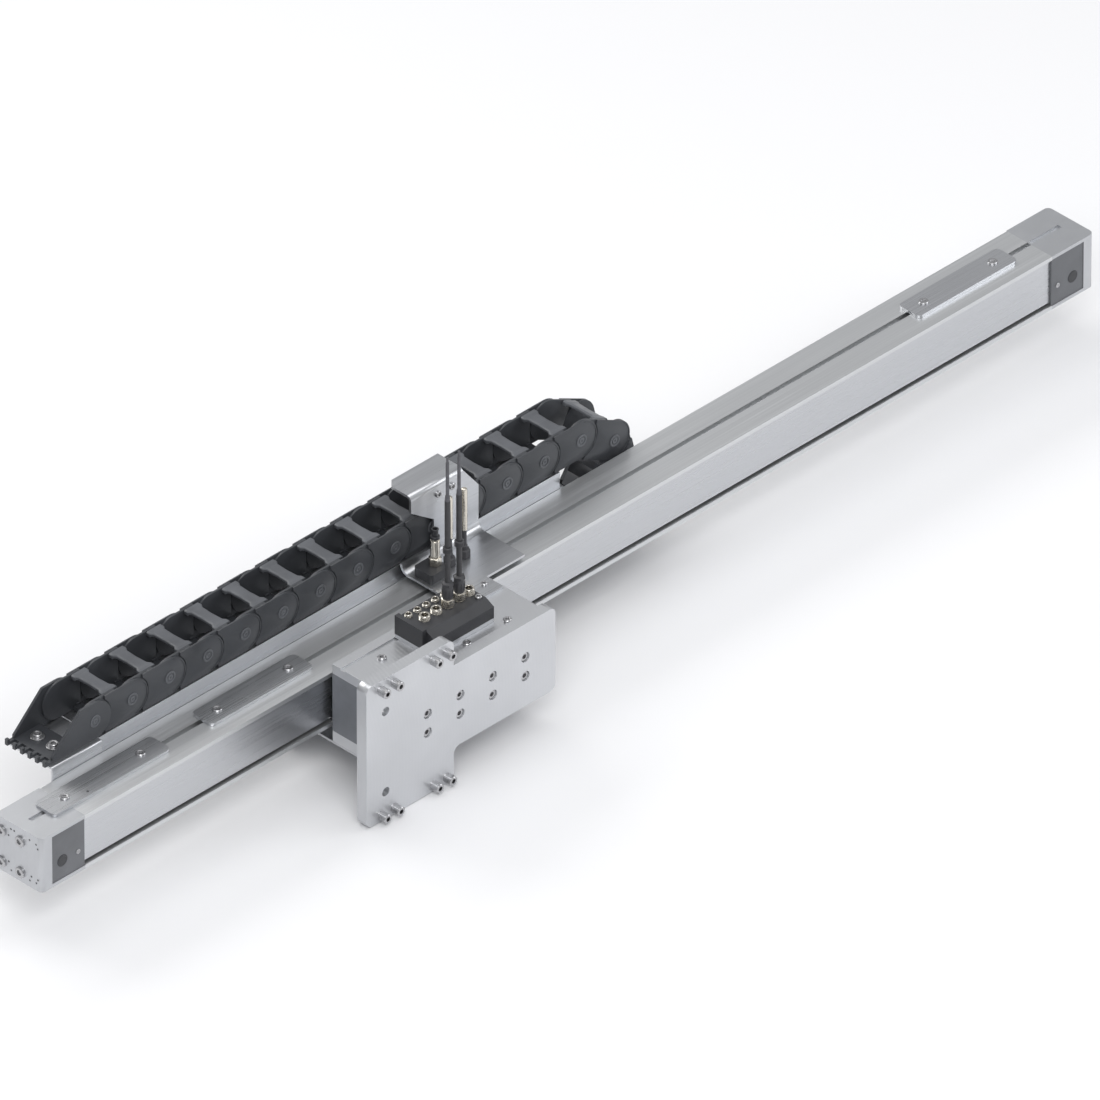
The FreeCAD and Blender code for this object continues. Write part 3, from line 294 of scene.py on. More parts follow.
def milled_metal(name, color, roughness):
    """Face-milled plate: faint overlapping tool arcs under a clear anodised layer."""
    nodes = Nodes(name)
    inputs = {"Vector": nodes.coordinates, "Scale": 85.0, "Distortion": 1.2, "Detail": 2.0}
    bands = nodes.add("ShaderNodeTexWave", inputs, wave_type="RINGS", rings_direction="SPHERICAL")
    arcs = bands.outputs["Fac"]
    fine = nodes.noise(1500.0, 3.0)
    broad = nodes.noise(11.0, 3.0)
    tone = nodes.blend(nodes.between(broad, 0, 1), shade(color, 0.94), shade(color, 1.03))
    rough = nodes.between(arcs, roughness - 0.03, roughness + 0.05, 0, 1)
    normal = nodes.bump(arcs, 0.06, RELIEF)
    normal = nodes.bump(fine, 0.15, FINE_RELIEF, normal)
    return nodes.finish(tone, rough, normal, ANODISED)


def moulded_plastic(name, color, roughness):
    """Injection-moulded polyamide with an eroded texture; its lighter streaks are partly scuffs and partly a
    painted sheen of slightly polished high spots.
    """
    nodes = Nodes(name)
    inputs = {"Vector": nodes.coordinates, "Scale": 900.0}
    cells = nodes.add("ShaderNodeTexVoronoi", inputs).outputs["Distance"]
    broad = nodes.noise(24.0, 4.0)
    scuffs_and_sheen = nodes.noise(1.0, 5.0, nodes.stretched((130, 520, 300)), 0.8)
    tone = nodes.blend(nodes.between(broad, 0, 1), shade(color, 0.82), shade(color, 1.2))
    # Lighter streaks: partly scuffs, partly a painted sheen put into the colour
    tone = nodes.blend(nodes.between(scuffs_and_sheen, 0, 0.4, 0.62, 0.8), tone, shade(color, 1.9))
    rough = nodes.between(broad, roughness - 0.06, roughness + 0.08)
    return nodes.finish(tone, rough, nodes.bump(cells, 0.3, COARSE_RELIEF), Specular_IOR_Level=0.5)


def rubber(name, color, roughness):
    """Extruded cable sheath or belt: matt, with faint rings along its length."""
    nodes = Nodes(name)
    rings = nodes.noise(1.0, 3.0, nodes.stretched((40, 40, 900)), 0.5)
    dust = nodes.noise(160.0, 4.0)
    tone = nodes.blend(nodes.between(dust, 0, 1), shade(color, 0.85), shade(color, 1.35))
    rough = nodes.between(dust, roughness - 0.06, roughness + 0.06)
    return nodes.finish(tone, rough, nodes.bump(rings, 0.2, RELIEF))


ALONG_X = (3, 900, 900)
ALONG_Z = (700, 700, 4)
SURFACES = {
    "profile": grained_metal("profile", (0.70, 0.71, 0.72), ALONG_X, 0.36),
    "strip": grained_metal("strip", (0.60, 0.61, 0.63), (2, 1500, 1500), 0.3, 1.0, contrast=0.05,
                           Anisotropic=0.5),
    "cap": blasted_metal("cap", (0.55, 0.56, 0.58), 0.42),
    "clamp": moulded_plastic("clamp", (0.13, 0.135, 0.145), 0.5),
    "black_plastic": moulded_plastic("black_plastic", (0.035, 0.036, 0.04), 0.42),
    "screw": grained_metal("screw", (0.50, 0.50, 0.51), (500, 500, 500), 0.3, 1.0, contrast=0.16),
    "bearing": grained_metal("bearing", (0.62, 0.62, 0.64), ALONG_X, 0.18, 1.0, contrast=0.05),
    "belt": rubber("belt", (0.03, 0.03, 0.032), 0.62),
    "steel_plate": grained_metal("steel_plate", (0.62, 0.63, 0.65), (6, 1100, 1100), 0.3, 1.0, contrast=0.1),
    "sheet": grained_metal("sheet", (0.58, 0.59, 0.61), ALONG_X, 0.33, 1.0, contrast=0.1),
    "chain": moulded_plastic("chain", (0.045, 0.048, 0.054), 0.4),
    "chain_bar": moulded_plastic("chain_bar", (0.095, 0.1, 0.11), 0.38),
    "plate": milled_metal("plate", (0.62, 0.63, 0.65), 0.36),
    "cover": moulded_plastic("cover", (0.17, 0.18, 0.2), 0.46),
    "port": grained_metal("port", (0.64, 0.61, 0.55), (400, 400, 900), 0.25, 1.0, contrast=0.08),
    "connector": moulded_plastic("connector", (0.05, 0.05, 0.055), 0.5),
    "cable": rubber("cable", (0.035, 0.035, 0.038), 0.55),
    "wire": rubber("wire", (0.08, 0.08, 0.09), 0.5),
    "brass": grained_metal("brass", (0.70, 0.66, 0.58), (300, 300, 300), 0.22, 1.0, contrast=0.06),
    "pulley": grained_metal("pulley", (0.66, 0.67, 0.69), ALONG_Z, 0.34),
}
node_slot = {part["node"]: part["material_slot"] for part in frame["record"]["subparts"]}


# Carried-over solids: their material, softened edges and smooth round faces

BEVELS = {"beam_profile": 0.35, "front_plate": 0.7, "left_end_cap": 0.7, "right_end_cap": 0.7,
          "cover_strip": 0.05, "distributor_block": 0.5, "carriage_body": 0.4, "chain_fixed_end": 0.5,
          "chain_moving_end": 0.5}
COMMON_BEVEL = 0.25
WELD_REACH = 0.000002
SHARP_ANGLE = 32
BAKED_BEVEL_ANGLE = 35
BAKED_SHARP_ANGLE = 28


def add_bevel(thing, width_mm, angle):
    """A bevel of two steps on edges sharper than an angle in degrees."""
    bevel = thing.modifiers.new("bevel", "BEVEL")
    bevel.width = width_mm * MM
    bevel.segments = 2
    bevel.limit_method = "ANGLE"
    bevel.angle_limit = math.radians(angle)
    return bevel


def soften(thing, width_mm):
    """Joins the split vertices, then bevels the sharp edges."""
    weld = thing.modifiers.new("weld", "WELD")
    weld.merge_threshold = WELD_REACH
    add_bevel(thing, width_mm, SHARP_ANGLE).harden_normals = True


for name, thing in frame["nodes"].items():
    surface = SURFACES[node_slot[name]]
    if not thing.material_slots:
        thing.data.materials.append(surface)
    for material_slot in thing.material_slots:
        material_slot.material = surface
    soften(thing, BEVELS.get(name, COMMON_BEVEL))


# Mesh helpers

KNURL_DEPTH = 0.14


def smooth(data, angle):
    """Smooth faces, with edges above an angle in degrees kept sharp."""
    for polygon in data.polygons:
        polygon.use_smooth = True
    data.set_sharp_from_angle(angle=math.radians(angle))


def piece(name, body, slot, mesh, stands_for=()):
    """An object from a bmesh in millimetres, with its material, riding on a body."""
    bmesh.ops.scale(mesh, vec=(MM, MM, MM), verts=mesh.verts)
    bmesh.ops.recalc_face_normals(mesh, faces=mesh.faces)
    data = bpy.data.meshes.new(name)
    mesh.to_mesh(data)
    mesh.free()
    data.materials.append(SURFACES[slot])
    smooth(data, SHARP_ANGLE)
    made = bpy.data.objects.new(name, data)
    bpy.context.scene.collection.objects.link(made)
    if body is not None:
        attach(made, body)
    if stands_for:
        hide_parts(*stands_for)
    return made


def ring_of(mesh, radius, height, kind, spot, segments, axis, toward):
    """One ring of a turned shape: round, knurled, or hexagonal with the radius as half its flats."""
    ring = []
    for step in range(segments):
        angle = 2 * math.pi * step / segments
        reach = radius
        if kind == "knurled" and step % 2:
            reach -= KNURL_DEPTH
        if kind == "hexagonal":
            reach /= math.cos(math.radians(360 * step / segments % 60 - 30))
        across, up = reach * math.cos(angle), reach * math.sin(angle)
        offset = {"z": (across, up, toward * height), "y": (across, toward * height, up),
                  "x": (toward * height, across, up)}[axis]
        ring.append(mesh.verts.new(Vector(spot) + Vector(offset)))
    return ring


def bridge(mesh, lower, upper):
    """Faces between two rings of as many points."""
    for step in range(len(lower)):
        after = (step + 1) % len(lower)
        mesh.faces.new((lower[step], lower[after], upper[after], upper[step]))


def turned(mesh, profile, spot, segments=48, axis="z", toward=1, closed=True):
    """A body of revolution from (radius, height) or (radius, height, kind) entries.

    A closed one runs from bottom to top with both ends filled; an open one is a ring-shaped loop.
    """
    rings = []
    for radius, height, *kind in profile:
        rings.append(ring_of(mesh, radius, height, *(kind or ["round"]), spot, segments, axis, toward))
    pairs = list(zip(rings, rings[1:]))
    if closed:
        mesh.faces.new(rings[0])
        mesh.faces.new(rings[-1])
    else:
        pairs.append((rings[-1], rings[0]))
    for lower, upper in pairs:
        bridge(mesh, lower, upper)


def prism(mesh, outline, axis, start, length):
    """An outline of (across, up) pushed along an axis; across and up are the other two axes in order."""
    ends = []
    for at in (start, start + length):
        corners = []
        for across, up in outline:
            corner = {"x": (at, across, up), "y": (across, at, up), "z": (across, up, at)}[axis]
            corners.append(mesh.verts.new(corner))
        ends.append(corners)
    bridge(mesh, *ends)
    for corners in ends:
        mesh.faces.new(corners)


def arc(middle, radius, start, stop, steps):
    """Points on an arc, angles in degrees."""
    points = []
    for step in range(steps + 1):
        angle = math.radians(start + (stop - start) * step / steps)
        points.append((middle[0] + radius * math.cos(angle), middle[1] + radius * math.sin(angle)))
    return points


def baked(made, width_mm):
    """Applies a bevel to a piece whose mesh has to be final, then smooths it."""
    add_bevel(made, width_mm, BAKED_BEVEL_ANGLE)
    shown = made.evaluated_get(bpy.context.evaluated_depsgraph_get())
    final = bpy.data.meshes.new_from_object(shown)
    made.modifiers.clear()
    made.data = final
    smooth(final, BAKED_SHARP_ANGLE)
    return made


# Screws

def cap_screw(mesh, spot, axis, toward, radius, height, knurled):
    """A screw head with a hexagon socket, standing on its seat."""
    edge = min(0.6, height * 0.3)
    socket = radius * 0.48
    floor = height * 0.35
    side = [(radius, 0), (radius, height - edge)]
    if knurled:
        side = [(radius, 0), (radius, 0.4), (radius, 0.5, "knurled"), (radius, height - 1.3, "knurled"),
                (radius, height - 1.2), (radius, height - edge)]
    top = [(radius - edge, height), (socket * 1.25, height), (socket * 1.02, height - 0.15),
           (socket, height - 0.2, "hexagonal"), (socket, floor, "hexagonal"), (socket * 0.5, floor - 0.05)]
    turned(mesh, side + top, spot, 48, axis, toward)


def screws(name, body, axis, toward, radius, height, spots, stands_for=(), knurled=False):
    """Equal screw heads as one piece."""
    mesh = bmesh.new()
    for spot in spots:
        cap_screw(mesh, spot, axis, toward, radius, height, knurled)
    piece(name, body, "screw", mesh, stands_for)


screws("left_end_screws", "root", "x", -1, radius=5.3, height=2.2, stands_for=["end_cap_screws"],
       spots=[(LEFT_FACE, y, z) for y in END_SCREWS_Y for z in END_SCREWS_Z])
screws("right_end_screws", "root", "x", 1, radius=5.3, height=2.2,
       spots=[(RIGHT_FACE, y, z) for y in END_SCREWS_Y for z in END_SCREWS_Z])
screws("slot_plate_screws", "root", "z", 1, radius=4.6, height=1.6,
       spots=[(x, 0, SLOT_PLATE_TOP) for x in SLOT_SCREWS_X])
screws("clamp_screws", "root", "y", -1, radius=2.4, height=0.7,
       spots=[(x, CLAMP_FACE, CLAMP_MIDDLE) for x in CLAMP_SCREWS_X])
screws("chain_support_screws", "root", "y", 1, radius=4.2, height=2.4,
       spots=[(x, SUPPORT_FACE, SUPPORT_SCREWS_Z) for x in SUPPORT_SCREWS_X])
screws("axis_screw_heads", "carriage", "y", -1, radius=4.55, height=9, stands_for=["axis_screws"],
       knurled=True, spots=[(x, PLATE_FACE, z) for x in AXIS_SCREWS_X for z in AXIS_SCREWS_Z])
screws("plate_fixing_screws", "carriage", "y", -1, radius=4.6, height=5.4, knurled=True,
       spots=[(x, PLATE_FACE + PLATE_RECESS, z) for x in PLATE_HOLES_X for z in PLATE_HOLES_Z])
screws("adapter_screws", "carriage", "z", 1, radius=4, height=2.6,
       spots=[(x, y, ADAPTER_TOP) for x, y in ADAPTER_SCREWS])
screws("box_screw", "carriage", "z", 1, radius=3.2, height=2.4, spots=[BOX_SCREW])
screws("bracket_screws", "carriage", "z", 1, radius=3.2, height=2,
       spots=[(x, BRACKET_SCREWS_Y, ADAPTER_TOP + BRACKET_SHEET) for x in BRACKET_SCREWS_X])
screws("bracket_wall_screws", "carriage", "y", -1, radius=3.4, height=2.2,
       spots=[(x, BRACKET_WALL_FACE, BRACKET_WALL_SCREWS_Z) for x in BRACKET_WALL_SCREWS_X])
screws("driver_screws", "carriage", "z", -1, radius=4, height=2.4,
       spots=[(x, DRIVER_SCREWS_Y, DRIVER_UNDER) for x in DRIVER_SCREWS_X])


# Small holes shown by discs of painted shade, and blanks, on the end caps and the first slot plate

def blanks():
    """Round covers pressed into the panels at the front of the end caps."""
    mesh = bmesh.new()
    profile = [(6, 0), (6, 0.25), (5.7, 0.4), (4.9, 0.4), (4.8, 0.3), (4.5, 0.3), (4.4, 0.4), (0.4, 0.5)]
    for spot_x in BLANKS_X:
        turned(mesh, profile, (spot_x, CLAMP_FACE, CLAMP_MIDDLE), axis="y", toward=-1)
    piece("panel_blanks", "root", "black_plastic", mesh)


def end_marks():
    """Small threaded holes round both end faces, each a thin ring round a black disc of painted shade for
    the hole's dark inside.
    """
    ring_mesh = bmesh.new()
    shade_disc_mesh = bmesh.new()
    rim = [(1.0, -0.1), (1.0, 0.12), (1.35, 0.06), (1.35, -0.1)]
    for face, toward in ((LEFT_FACE, -1), (RIGHT_FACE, 1)):
        for spot_y, spot_z in END_MARKS:
            spot = (face, spot_y, spot_z)
            turned(ring_mesh, rim, spot, 24, "x", toward, closed=False)
            # A black disc of painted shade where the hole's inside is dark
            turned(shade_disc_mesh, [(1.0, -0.1), (1.0, 0.03)], spot, 24, "x", toward)
    piece("end_mark_rings", "root", "cap", ring_mesh)
    piece("end_mark_shade_discs", "root", "black_plastic", shade_disc_mesh)


def pilot_hole_shade():
    """A black disc of painted shade for a small hole in the first slot plate."""
    mesh = bmesh.new()
    turned(mesh, [(1.2, -0.1), (1.2, 0.04)], PILOT_SPOT, 24)
    piece("slot_plate_pilot_shade", "root", "black_plastic", mesh)


blanks()
end_marks()
pilot_hole_shade()


# Sockets of the connection box

def contacts(mesh, spot, circle, count):
    """Contact pins on a circle."""
    for number in range(count):
        angle = 2 * math.pi * (number + 0.5) / count
        at = (spot[0] + circle * math.cos(angle), spot[1] + circle * math.sin(angle), spot[2])
        turned(mesh, [(0.35, 0), (0.35, 1.3), (0.2, 1.6)], at, 12)


def socket_ring(mesh, spot, radius, bore, height):
    """A threaded socket that stands on the box."""
    profile = [(bore, 0), (radius, 0), (radius, 0.8), (radius - 0.35, 1.0)]
    start = 1.2
    while start < height - 0.9:
        profile += [(radius - 0.35, start), (radius - 0.05, start + 0.22), (radius - 0.05, start + 0.4),
                    (radius - 0.35, start + 0.6)]
        start += 0.85
    profile += [(radius - 0.35, height - 0.3), (radius - 0.6, height), (bore + 0.2, height),
                (bore, height - 0.2)]
    turned(mesh, profile, spot, closed=False)


def ports():
    """The open sockets: two in front, a wide one beside the plugs and five small ones behind."""
    rings = bmesh.new()
    inserts = bmesh.new()
    pins = bmesh.new()
    sockets = [((spot_x, PORT_Y, BOX_TOP), PORT_RADIUS, height, 32, 1.56, 4) for spot_x, height in PORTS]
    sockets += [((spot_x, REAR_PORT_Y, BOX_TOP), REAR_PORT_RADIUS, REAR_PORT_HEIGHT, 24, 1.1, 3)
                for spot_x in REAR_PORTS_X]
    for spot, radius, height, segments, circle, count in sockets:
        bore = radius * PORT_BORE
        socket_ring(rings, spot, radius, bore, height)
        turned(inserts, [(bore, 0), (bore, PORT_FLOOR), (radius * 0.5, 0.5)], spot, segments)
        contacts(pins, (spot[0], spot[1], BOX_TOP + PORT_FLOOR), circle, count)
    piece("socket_rings", "carriage", "port", rings, ["distributor_ports"])
    piece("socket_inserts", "carriage", "black_plastic", inserts)
    piece("socket_pins", "carriage", "brass", pins)


ports()


# Push-in fitting on the bracket's block, and two silencers on its foot

def push_in_fitting():
    """A hexagon foot, a barrel, and the release ring round the tube's opening."""
    mesh = bmesh.new()
    barrel = [(4.9, 0), (5.2, 0.4, "hexagonal"), (5.2, 7.6, "hexagonal"), (4.9, 8.0), (4.0, 8.3), (4.0, 9.6),
              (4.35, 10), (4.35, 25.5), (4.0, 26), (3.5, 26.2), (3.5, 27.4)]
    turned(mesh, barrel, FITTING)
    piece("fitting_barrel", "carriage", "brass", mesh, ["air_fitting"])
    mesh = bmesh.new()
    release = [(2.1, 27.2), (3.9, 27.4), (4.3, 27.9), (4.3, 30.2), (3.9, 30.8), (3.0, 31), (3.0, 36.6),
               (3.4, 37), (3.4, 37.6), (3.1, 38), (2.3, 38), (2.1, 37.7)]
    turned(mesh, release, FITTING, closed=False)
    piece("fitting_release_ring", "carriage", "black_plastic", mesh)


def silencers():
    """Two slim silencers in a row with the fitting: a dark hexagon foot and neck, and a pale body."""
    feet = bmesh.new()
    bodies = bmesh.new()
    foot = [(4.6, 0), (4.9, 0.4, "hexagonal"), (4.9, 7.6, "hexagonal"), (4.6, 8.0), (3.0, 8.3), (3.0, 12),
            (2.2, 12.6), (2.2, 29)]
    body = [(2.4, 28.4), (2.9, 28.9), (2.9, 71), (2.5, 72.2), (1.4, 72.9)]
    for spot_x in SILENCERS_X:
        spot = (spot_x, FITTING[1], BRACKET_FOOT_TOP)
        turned(feet, foot, spot)
        turned(bodies, body, spot)
    piece("silencer_feet", "carriage", "connector", feet)
    piece("silencer_bodies", "carriage", "brass", bodies)


push_in_fitting()
silencers()


# Cables: short straight stubs that stand on their plugs

def cable(side):
    """The cable's sheath, straight up from the plug."""
    spot_x = PLUG_SPOTS[side]
    line = bpy.data.curves.new(f"{side}_cable_line", "CURVE")
    line.dimensions = "3D"
    line.bevel_depth = CABLE_RADIUS * MM
    line.bevel_resolution = 6
    line.use_fill_caps = True
    spline = line.splines.new("NURBS")
    heights = [CABLE_LOW + CABLE_LENGTH * step / CABLE_STEPS for step in range(CABLE_STEPS + 1)]
    spline.points.add(len(heights) - 1)
    for point, height in zip(spline.points, heights):
        point.co = (spot_x * MM, PORT_Y * MM, height * MM, 1)
    spline.order_u = 3
    spline.use_endpoint_u = True
    spline.resolution_u = 8
    line.materials.append(SURFACES["cable"])
    made = bpy.data.objects.new(f"{side}_cable_sheath", line)
    bpy.context.scene.collection.objects.link(made)
    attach(made, "carriage")
    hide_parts(f"{side}_cable")
    return made


def cable_sleeve(side):
    """A moulded clip round the cable, with three grip ribs."""
    mesh = bmesh.new()
    low = CABLE_LOW + SLEEVE_PLACE
    bore = CABLE_RADIUS + 0.15
    profile = [(bore, 0), (3.9, 0), (4.3, 0.5)]
    for rib in range(3):
        start = 1.1 + rib * 1.4
        profile += [(4.3, start), (3.8, start + 0.2), (3.8, start + 0.8), (4.3, start + 1.0)]
    profile += [(4.3, SLEEVE_HEIGHT - 0.5), (3.9, SLEEVE_HEIGHT), (bore, SLEEVE_HEIGHT)]
    turned(mesh, profile, (PLUG_SPOTS[side], PORT_Y, low), closed=False)
    return piece(f"{side}_cable_sleeve", "carriage", "connector", mesh)


def cable_end(side):
    """The lead where the sheath ends: a shrink sleeve, then the lead with its trimmed end."""
    mesh = bmesh.new()
    top = CABLE_LOW + CABLE_LENGTH
    profile = [(CABLE_RADIUS * 0.9, 0), (CABLE_RADIUS * 0.86, 4), (LEAD_RADIUS + 0.5, 5.2), (LEAD_RADIUS, 6),
               (LEAD_RADIUS, LEAD_LENGTH - 6), (LEAD_RADIUS * 0.96, LEAD_LENGTH - 5.6),
               (LEAD_RADIUS * 0.7, LEAD_LENGTH - 5.5), (LEAD_RADIUS * 0.7, LEAD_LENGTH - 0.2),
               (LEAD_RADIUS * 0.6, LEAD_LENGTH)]
    turned(mesh, profile, (PLUG_SPOTS[side], PORT_Y, top), 24)
    return piece(f"{side}_cable_lead", "carriage", "wire", mesh, [f"{side}_cable_tail"])


def sensor_plug(side):
    """A round plug: a knurled union nut, a ribbed grip body and a clamping ring."""
    mesh = bmesh.new()
    spot = (PLUG_SPOTS[side], PORT_Y)
    teeth = 28
    outline = []
    for tooth in range(teeth * 2):
        angle = math.pi * tooth / teeth
        radius = 6.1 if tooth % 2 else 5.65
        outline.append((spot[0] + radius * math.cos(angle), spot[1] + radius * math.sin(angle)))
    prism(mesh, outline, "z", BOX_TOP + 1.2, PLUG_NUT_HEIGHT - 2.2)
    turned(mesh, [(5.5, 0), (5.9, 0.4), (5.9, 1.2), (5.3, 1.3)], (*spot, BOX_TOP))
    turned(mesh, [(5.6, -1.0), (5.6, -0.3), (5.0, 0)], (*spot, BOX_TOP + PLUG_NUT_HEIGHT))
    piece(f"{side}_plug_nut", "carriage", "port", mesh, [f"{side}_sensor_plug"])
    mesh = bmesh.new()
    low = BOX_TOP + PLUG_NUT_HEIGHT
    grip = [(4.6, 0), (4.85, 0.5), (4.85, PLUG_BODY_HEIGHT - 1.5), (4.3, PLUG_BODY_HEIGHT)]
    turned(mesh, grip, (*spot, low))
    for rib in range(10):
        angle = 2 * math.pi * rib / 10
        middle = (spot[0] + 4.8 * math.cos(angle), spot[1] + 4.8 * math.sin(angle))
        outline = arc(middle, 0.55, 0, 330, 7)
        prism(mesh, outline, "z", low + 2, PLUG_BODY_HEIGHT - 5)
    ring_low = low + PLUG_BODY_HEIGHT
    turned(mesh, [(4.9, 0), (5.4, 0.4), (5.4, PLUG_RING_HEIGHT - 1.2), (3.2, PLUG_RING_HEIGHT)],
           (*spot, ring_low), 6)
    piece(f"{side}_plug_body", "carriage", "connector", mesh)


for side in PLUG_SPOTS:
    sheath = cable(side)
    with_it = [cable_sleeve(side), cable_end(side)]
    sensor_plug(side)


# Energy chain: links, bars and pins, copied along the upper run, the bend and the lower run

def outer_outline():
    """A side plate's outer layer: a round eye, and a near end hollowed round the eye of the link before."""
    eye = arc((CHAIN_PITCH, 0), CHAIN_LUG, -90, 90, 22)
    hollow = arc((0, 0), CHAIN_LUG + HOLLOW_GAP, HOLLOW_TURN, -HOLLOW_TURN, 16)
    start = hollow[0][0]
    return eye + [(start, CHAIN_LUG)] + hollow + [(start, -CHAIN_LUG)]


def inner_outline(end):
    """The inner layer: round at the link's own hinge, straight where it meets the outer layer."""
    return [(end, -CHAIN_LUG), (end, CHAIN_LUG)] + arc((0, 0), CHAIN_LUG, 90, 270, 22)


def hinge_pin(mesh, spot, toward, proud):
    """The end of a hinge pin: a raised eye round a hollow core."""
    eye = [(6.0, -0.4), (6.0, proud - 0.2), (5.8, proud), (4.5, proud), (4.3, proud - 0.2), (4.3, 0.05),
           (2.9, 0.05), (2.9, proud - 0.3), (2.7, proud - 0.15), (1.0, proud - 0.15), (0.9, 0.1), (0.2, 0.1)]
    turned(mesh, eye, spot, 36, "y", toward)


def link_side(mesh, outer_y, inward):
    """A side plate: an outer layer with a rim round its eye, an inner layer, their step and two ribs."""
    inner_end = CHAIN_PITCH - CHAIN_LUG - CHAIN_GAP
    outer_start = CHAIN_LUG + CHAIN_GAP
    plate_y = outer_y + inward * PIN_PROUD
    prism(mesh, outer_outline(), "y", plate_y, inward * (CHAIN_LEAF - PIN_PROUD))
    inner_y = outer_y + inward * (CHAIN_LEAF + CHAIN_GAP / 2)
    prism(mesh, inner_outline(inner_end), "y", inner_y, inward * (CHAIN_LEAF - CHAIN_GAP / 2))
    step = [(outer_start, -CHAIN_LUG + 0.05), (inner_end, -CHAIN_LUG + 0.05),
            (inner_end, CHAIN_LUG - 0.05), (outer_start, CHAIN_LUG - 0.05)]
    prism(mesh, step, "y", outer_y + inward * CHAIN_LEAF / 2, inward * CHAIN_LEAF)
    rim = arc((CHAIN_PITCH, 0), CHAIN_LUG - RIM_INSET, -78, 78, 18)
    rim += arc((CHAIN_PITCH, 0), CHAIN_LUG - RIM_INSET - RIM_WIDTH, 78, -78, 18)
    prism(mesh, rim, "y", plate_y - inward * RIM_PROUD, inward * 0.6)
    for height in (CHAIN_LUG - 5.2, -CHAIN_LUG + 3.4):
        rib = [(outer_start + 1, height), (inner_end - 0.6, height), (inner_end - 0.6, height + RIB_HEIGHT),
               (outer_start + 1, height + RIB_HEIGHT)]
        prism(mesh, rib, "y", outer_y + inward * (1.5 * CHAIN_LEAF), inward * (CHAIN_LEAF * 0.5 + 1.2))


def pins_mesh():
    """Both ends of the hinge pin at a link's far hinge."""
    mesh = bmesh.new()
    hinge_pin(mesh, (CHAIN_PITCH, PIN_PROUD, 0), -1, PIN_PROUD)
    hinge_pin(mesh, (CHAIN_PITCH, CHAIN_WIDTH - PIN_PROUD, 0), 1, PIN_PROUD)
    return mesh


def link_mesh():
    """One link with the fixed bar on the inside of the bend."""
    mesh = bmesh.new()
    link_side(mesh, 0, 1)
    link_side(mesh, CHAIN_WIDTH, -1)
    start = (CHAIN_PITCH - BAR_LENGTH) / 2
    bar = [(start, -CHAIN_LUG), (start + BAR_LENGTH, -CHAIN_LUG),
           (start + BAR_LENGTH - BAR_CHAMFER, -CHAIN_LUG + BAR_THICKNESS),
           (start + BAR_CHAMFER, -CHAIN_LUG + BAR_THICKNESS)]
    prism(mesh, bar, "y", CHAIN_LEAF * 2 - 0.2, CHAIN_WIDTH - CHAIN_LEAF * 4 + 0.4)
    return mesh


def bar_mesh():
    """The openable bar: waisted in plan and crowned on top, with a foot at each end."""
    mesh = bmesh.new()
    near = 2 * CHAIN_LEAF
    far = CHAIN_WIDTH - 2 * CHAIN_LEAF
    low = CHAIN_LUG - BAR_THICKNESS
    shoulder = CHAIN_LUG - 0.9
    middle_x = CHAIN_PITCH / 2
    stations = [(near + 0.2, BAR_HALF_END), (near + 4.5, BAR_HALF_END), (near + 7.5, BAR_HALF_NECK),
                (CHAIN_WIDTH / 2, BAR_HALF_WAIST), (far - 7.5, BAR_HALF_NECK), (far - 4.5, BAR_HALF_END),
                (far - 0.2, BAR_HALF_END)]
    rows = []
    for at_y, half in stations:
        crown = half - BAR_CHAMFER
        section = [(-half, low), (half, low), (half, shoulder), (crown, CHAIN_LUG), (-crown, CHAIN_LUG),
                   (-half, shoulder)]
        rows.append([mesh.verts.new((middle_x + across, at_y, up)) for across, up in section])
    for lower, upper in zip(rows, rows[1:]):
        bridge(mesh, lower, upper)
    mesh.faces.new(rows[0])
    mesh.faces.new(rows[-1])
    for start in (near + 0.2, far - 5.2):
        foot = [(middle_x - 8.8, low - 1), (middle_x + 8.8, low - 1), (middle_x + 8.8, low + 0.1),
                (middle_x - 8.8, low + 0.1)]
        prism(mesh, foot, "y", start, 5)
    return mesh


def run(name, body, slot, unit, hinges, stands_for, width):
    """Copies of one link, bar or pair of pins at each hinge, given as (x, z, turn in degrees)."""
    mesh = bmesh.new()
    source = bpy.data.meshes.new(f"{name}_unit")
    unit().to_mesh(source)
    for hinge_x, hinge_z, turn in hinges:
        fresh = len(mesh.verts)
        mesh.from_mesh(source)
        mesh.verts.ensure_lookup_table()
        place = Matrix.Translation((hinge_x, CHAIN_NEAR, hinge_z))
        swing = Matrix.Rotation(math.radians(turn), 4, "Y")
        bmesh.ops.transform(mesh, matrix=place @ swing, verts=mesh.verts[fresh:])
    bpy.data.meshes.remove(source)
    made = piece(name, body, slot, mesh, stands_for)
    return baked(made, width)


def follow_evenly(link):
    """Bakes one lower link's placement into its mesh."""
    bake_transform(link)


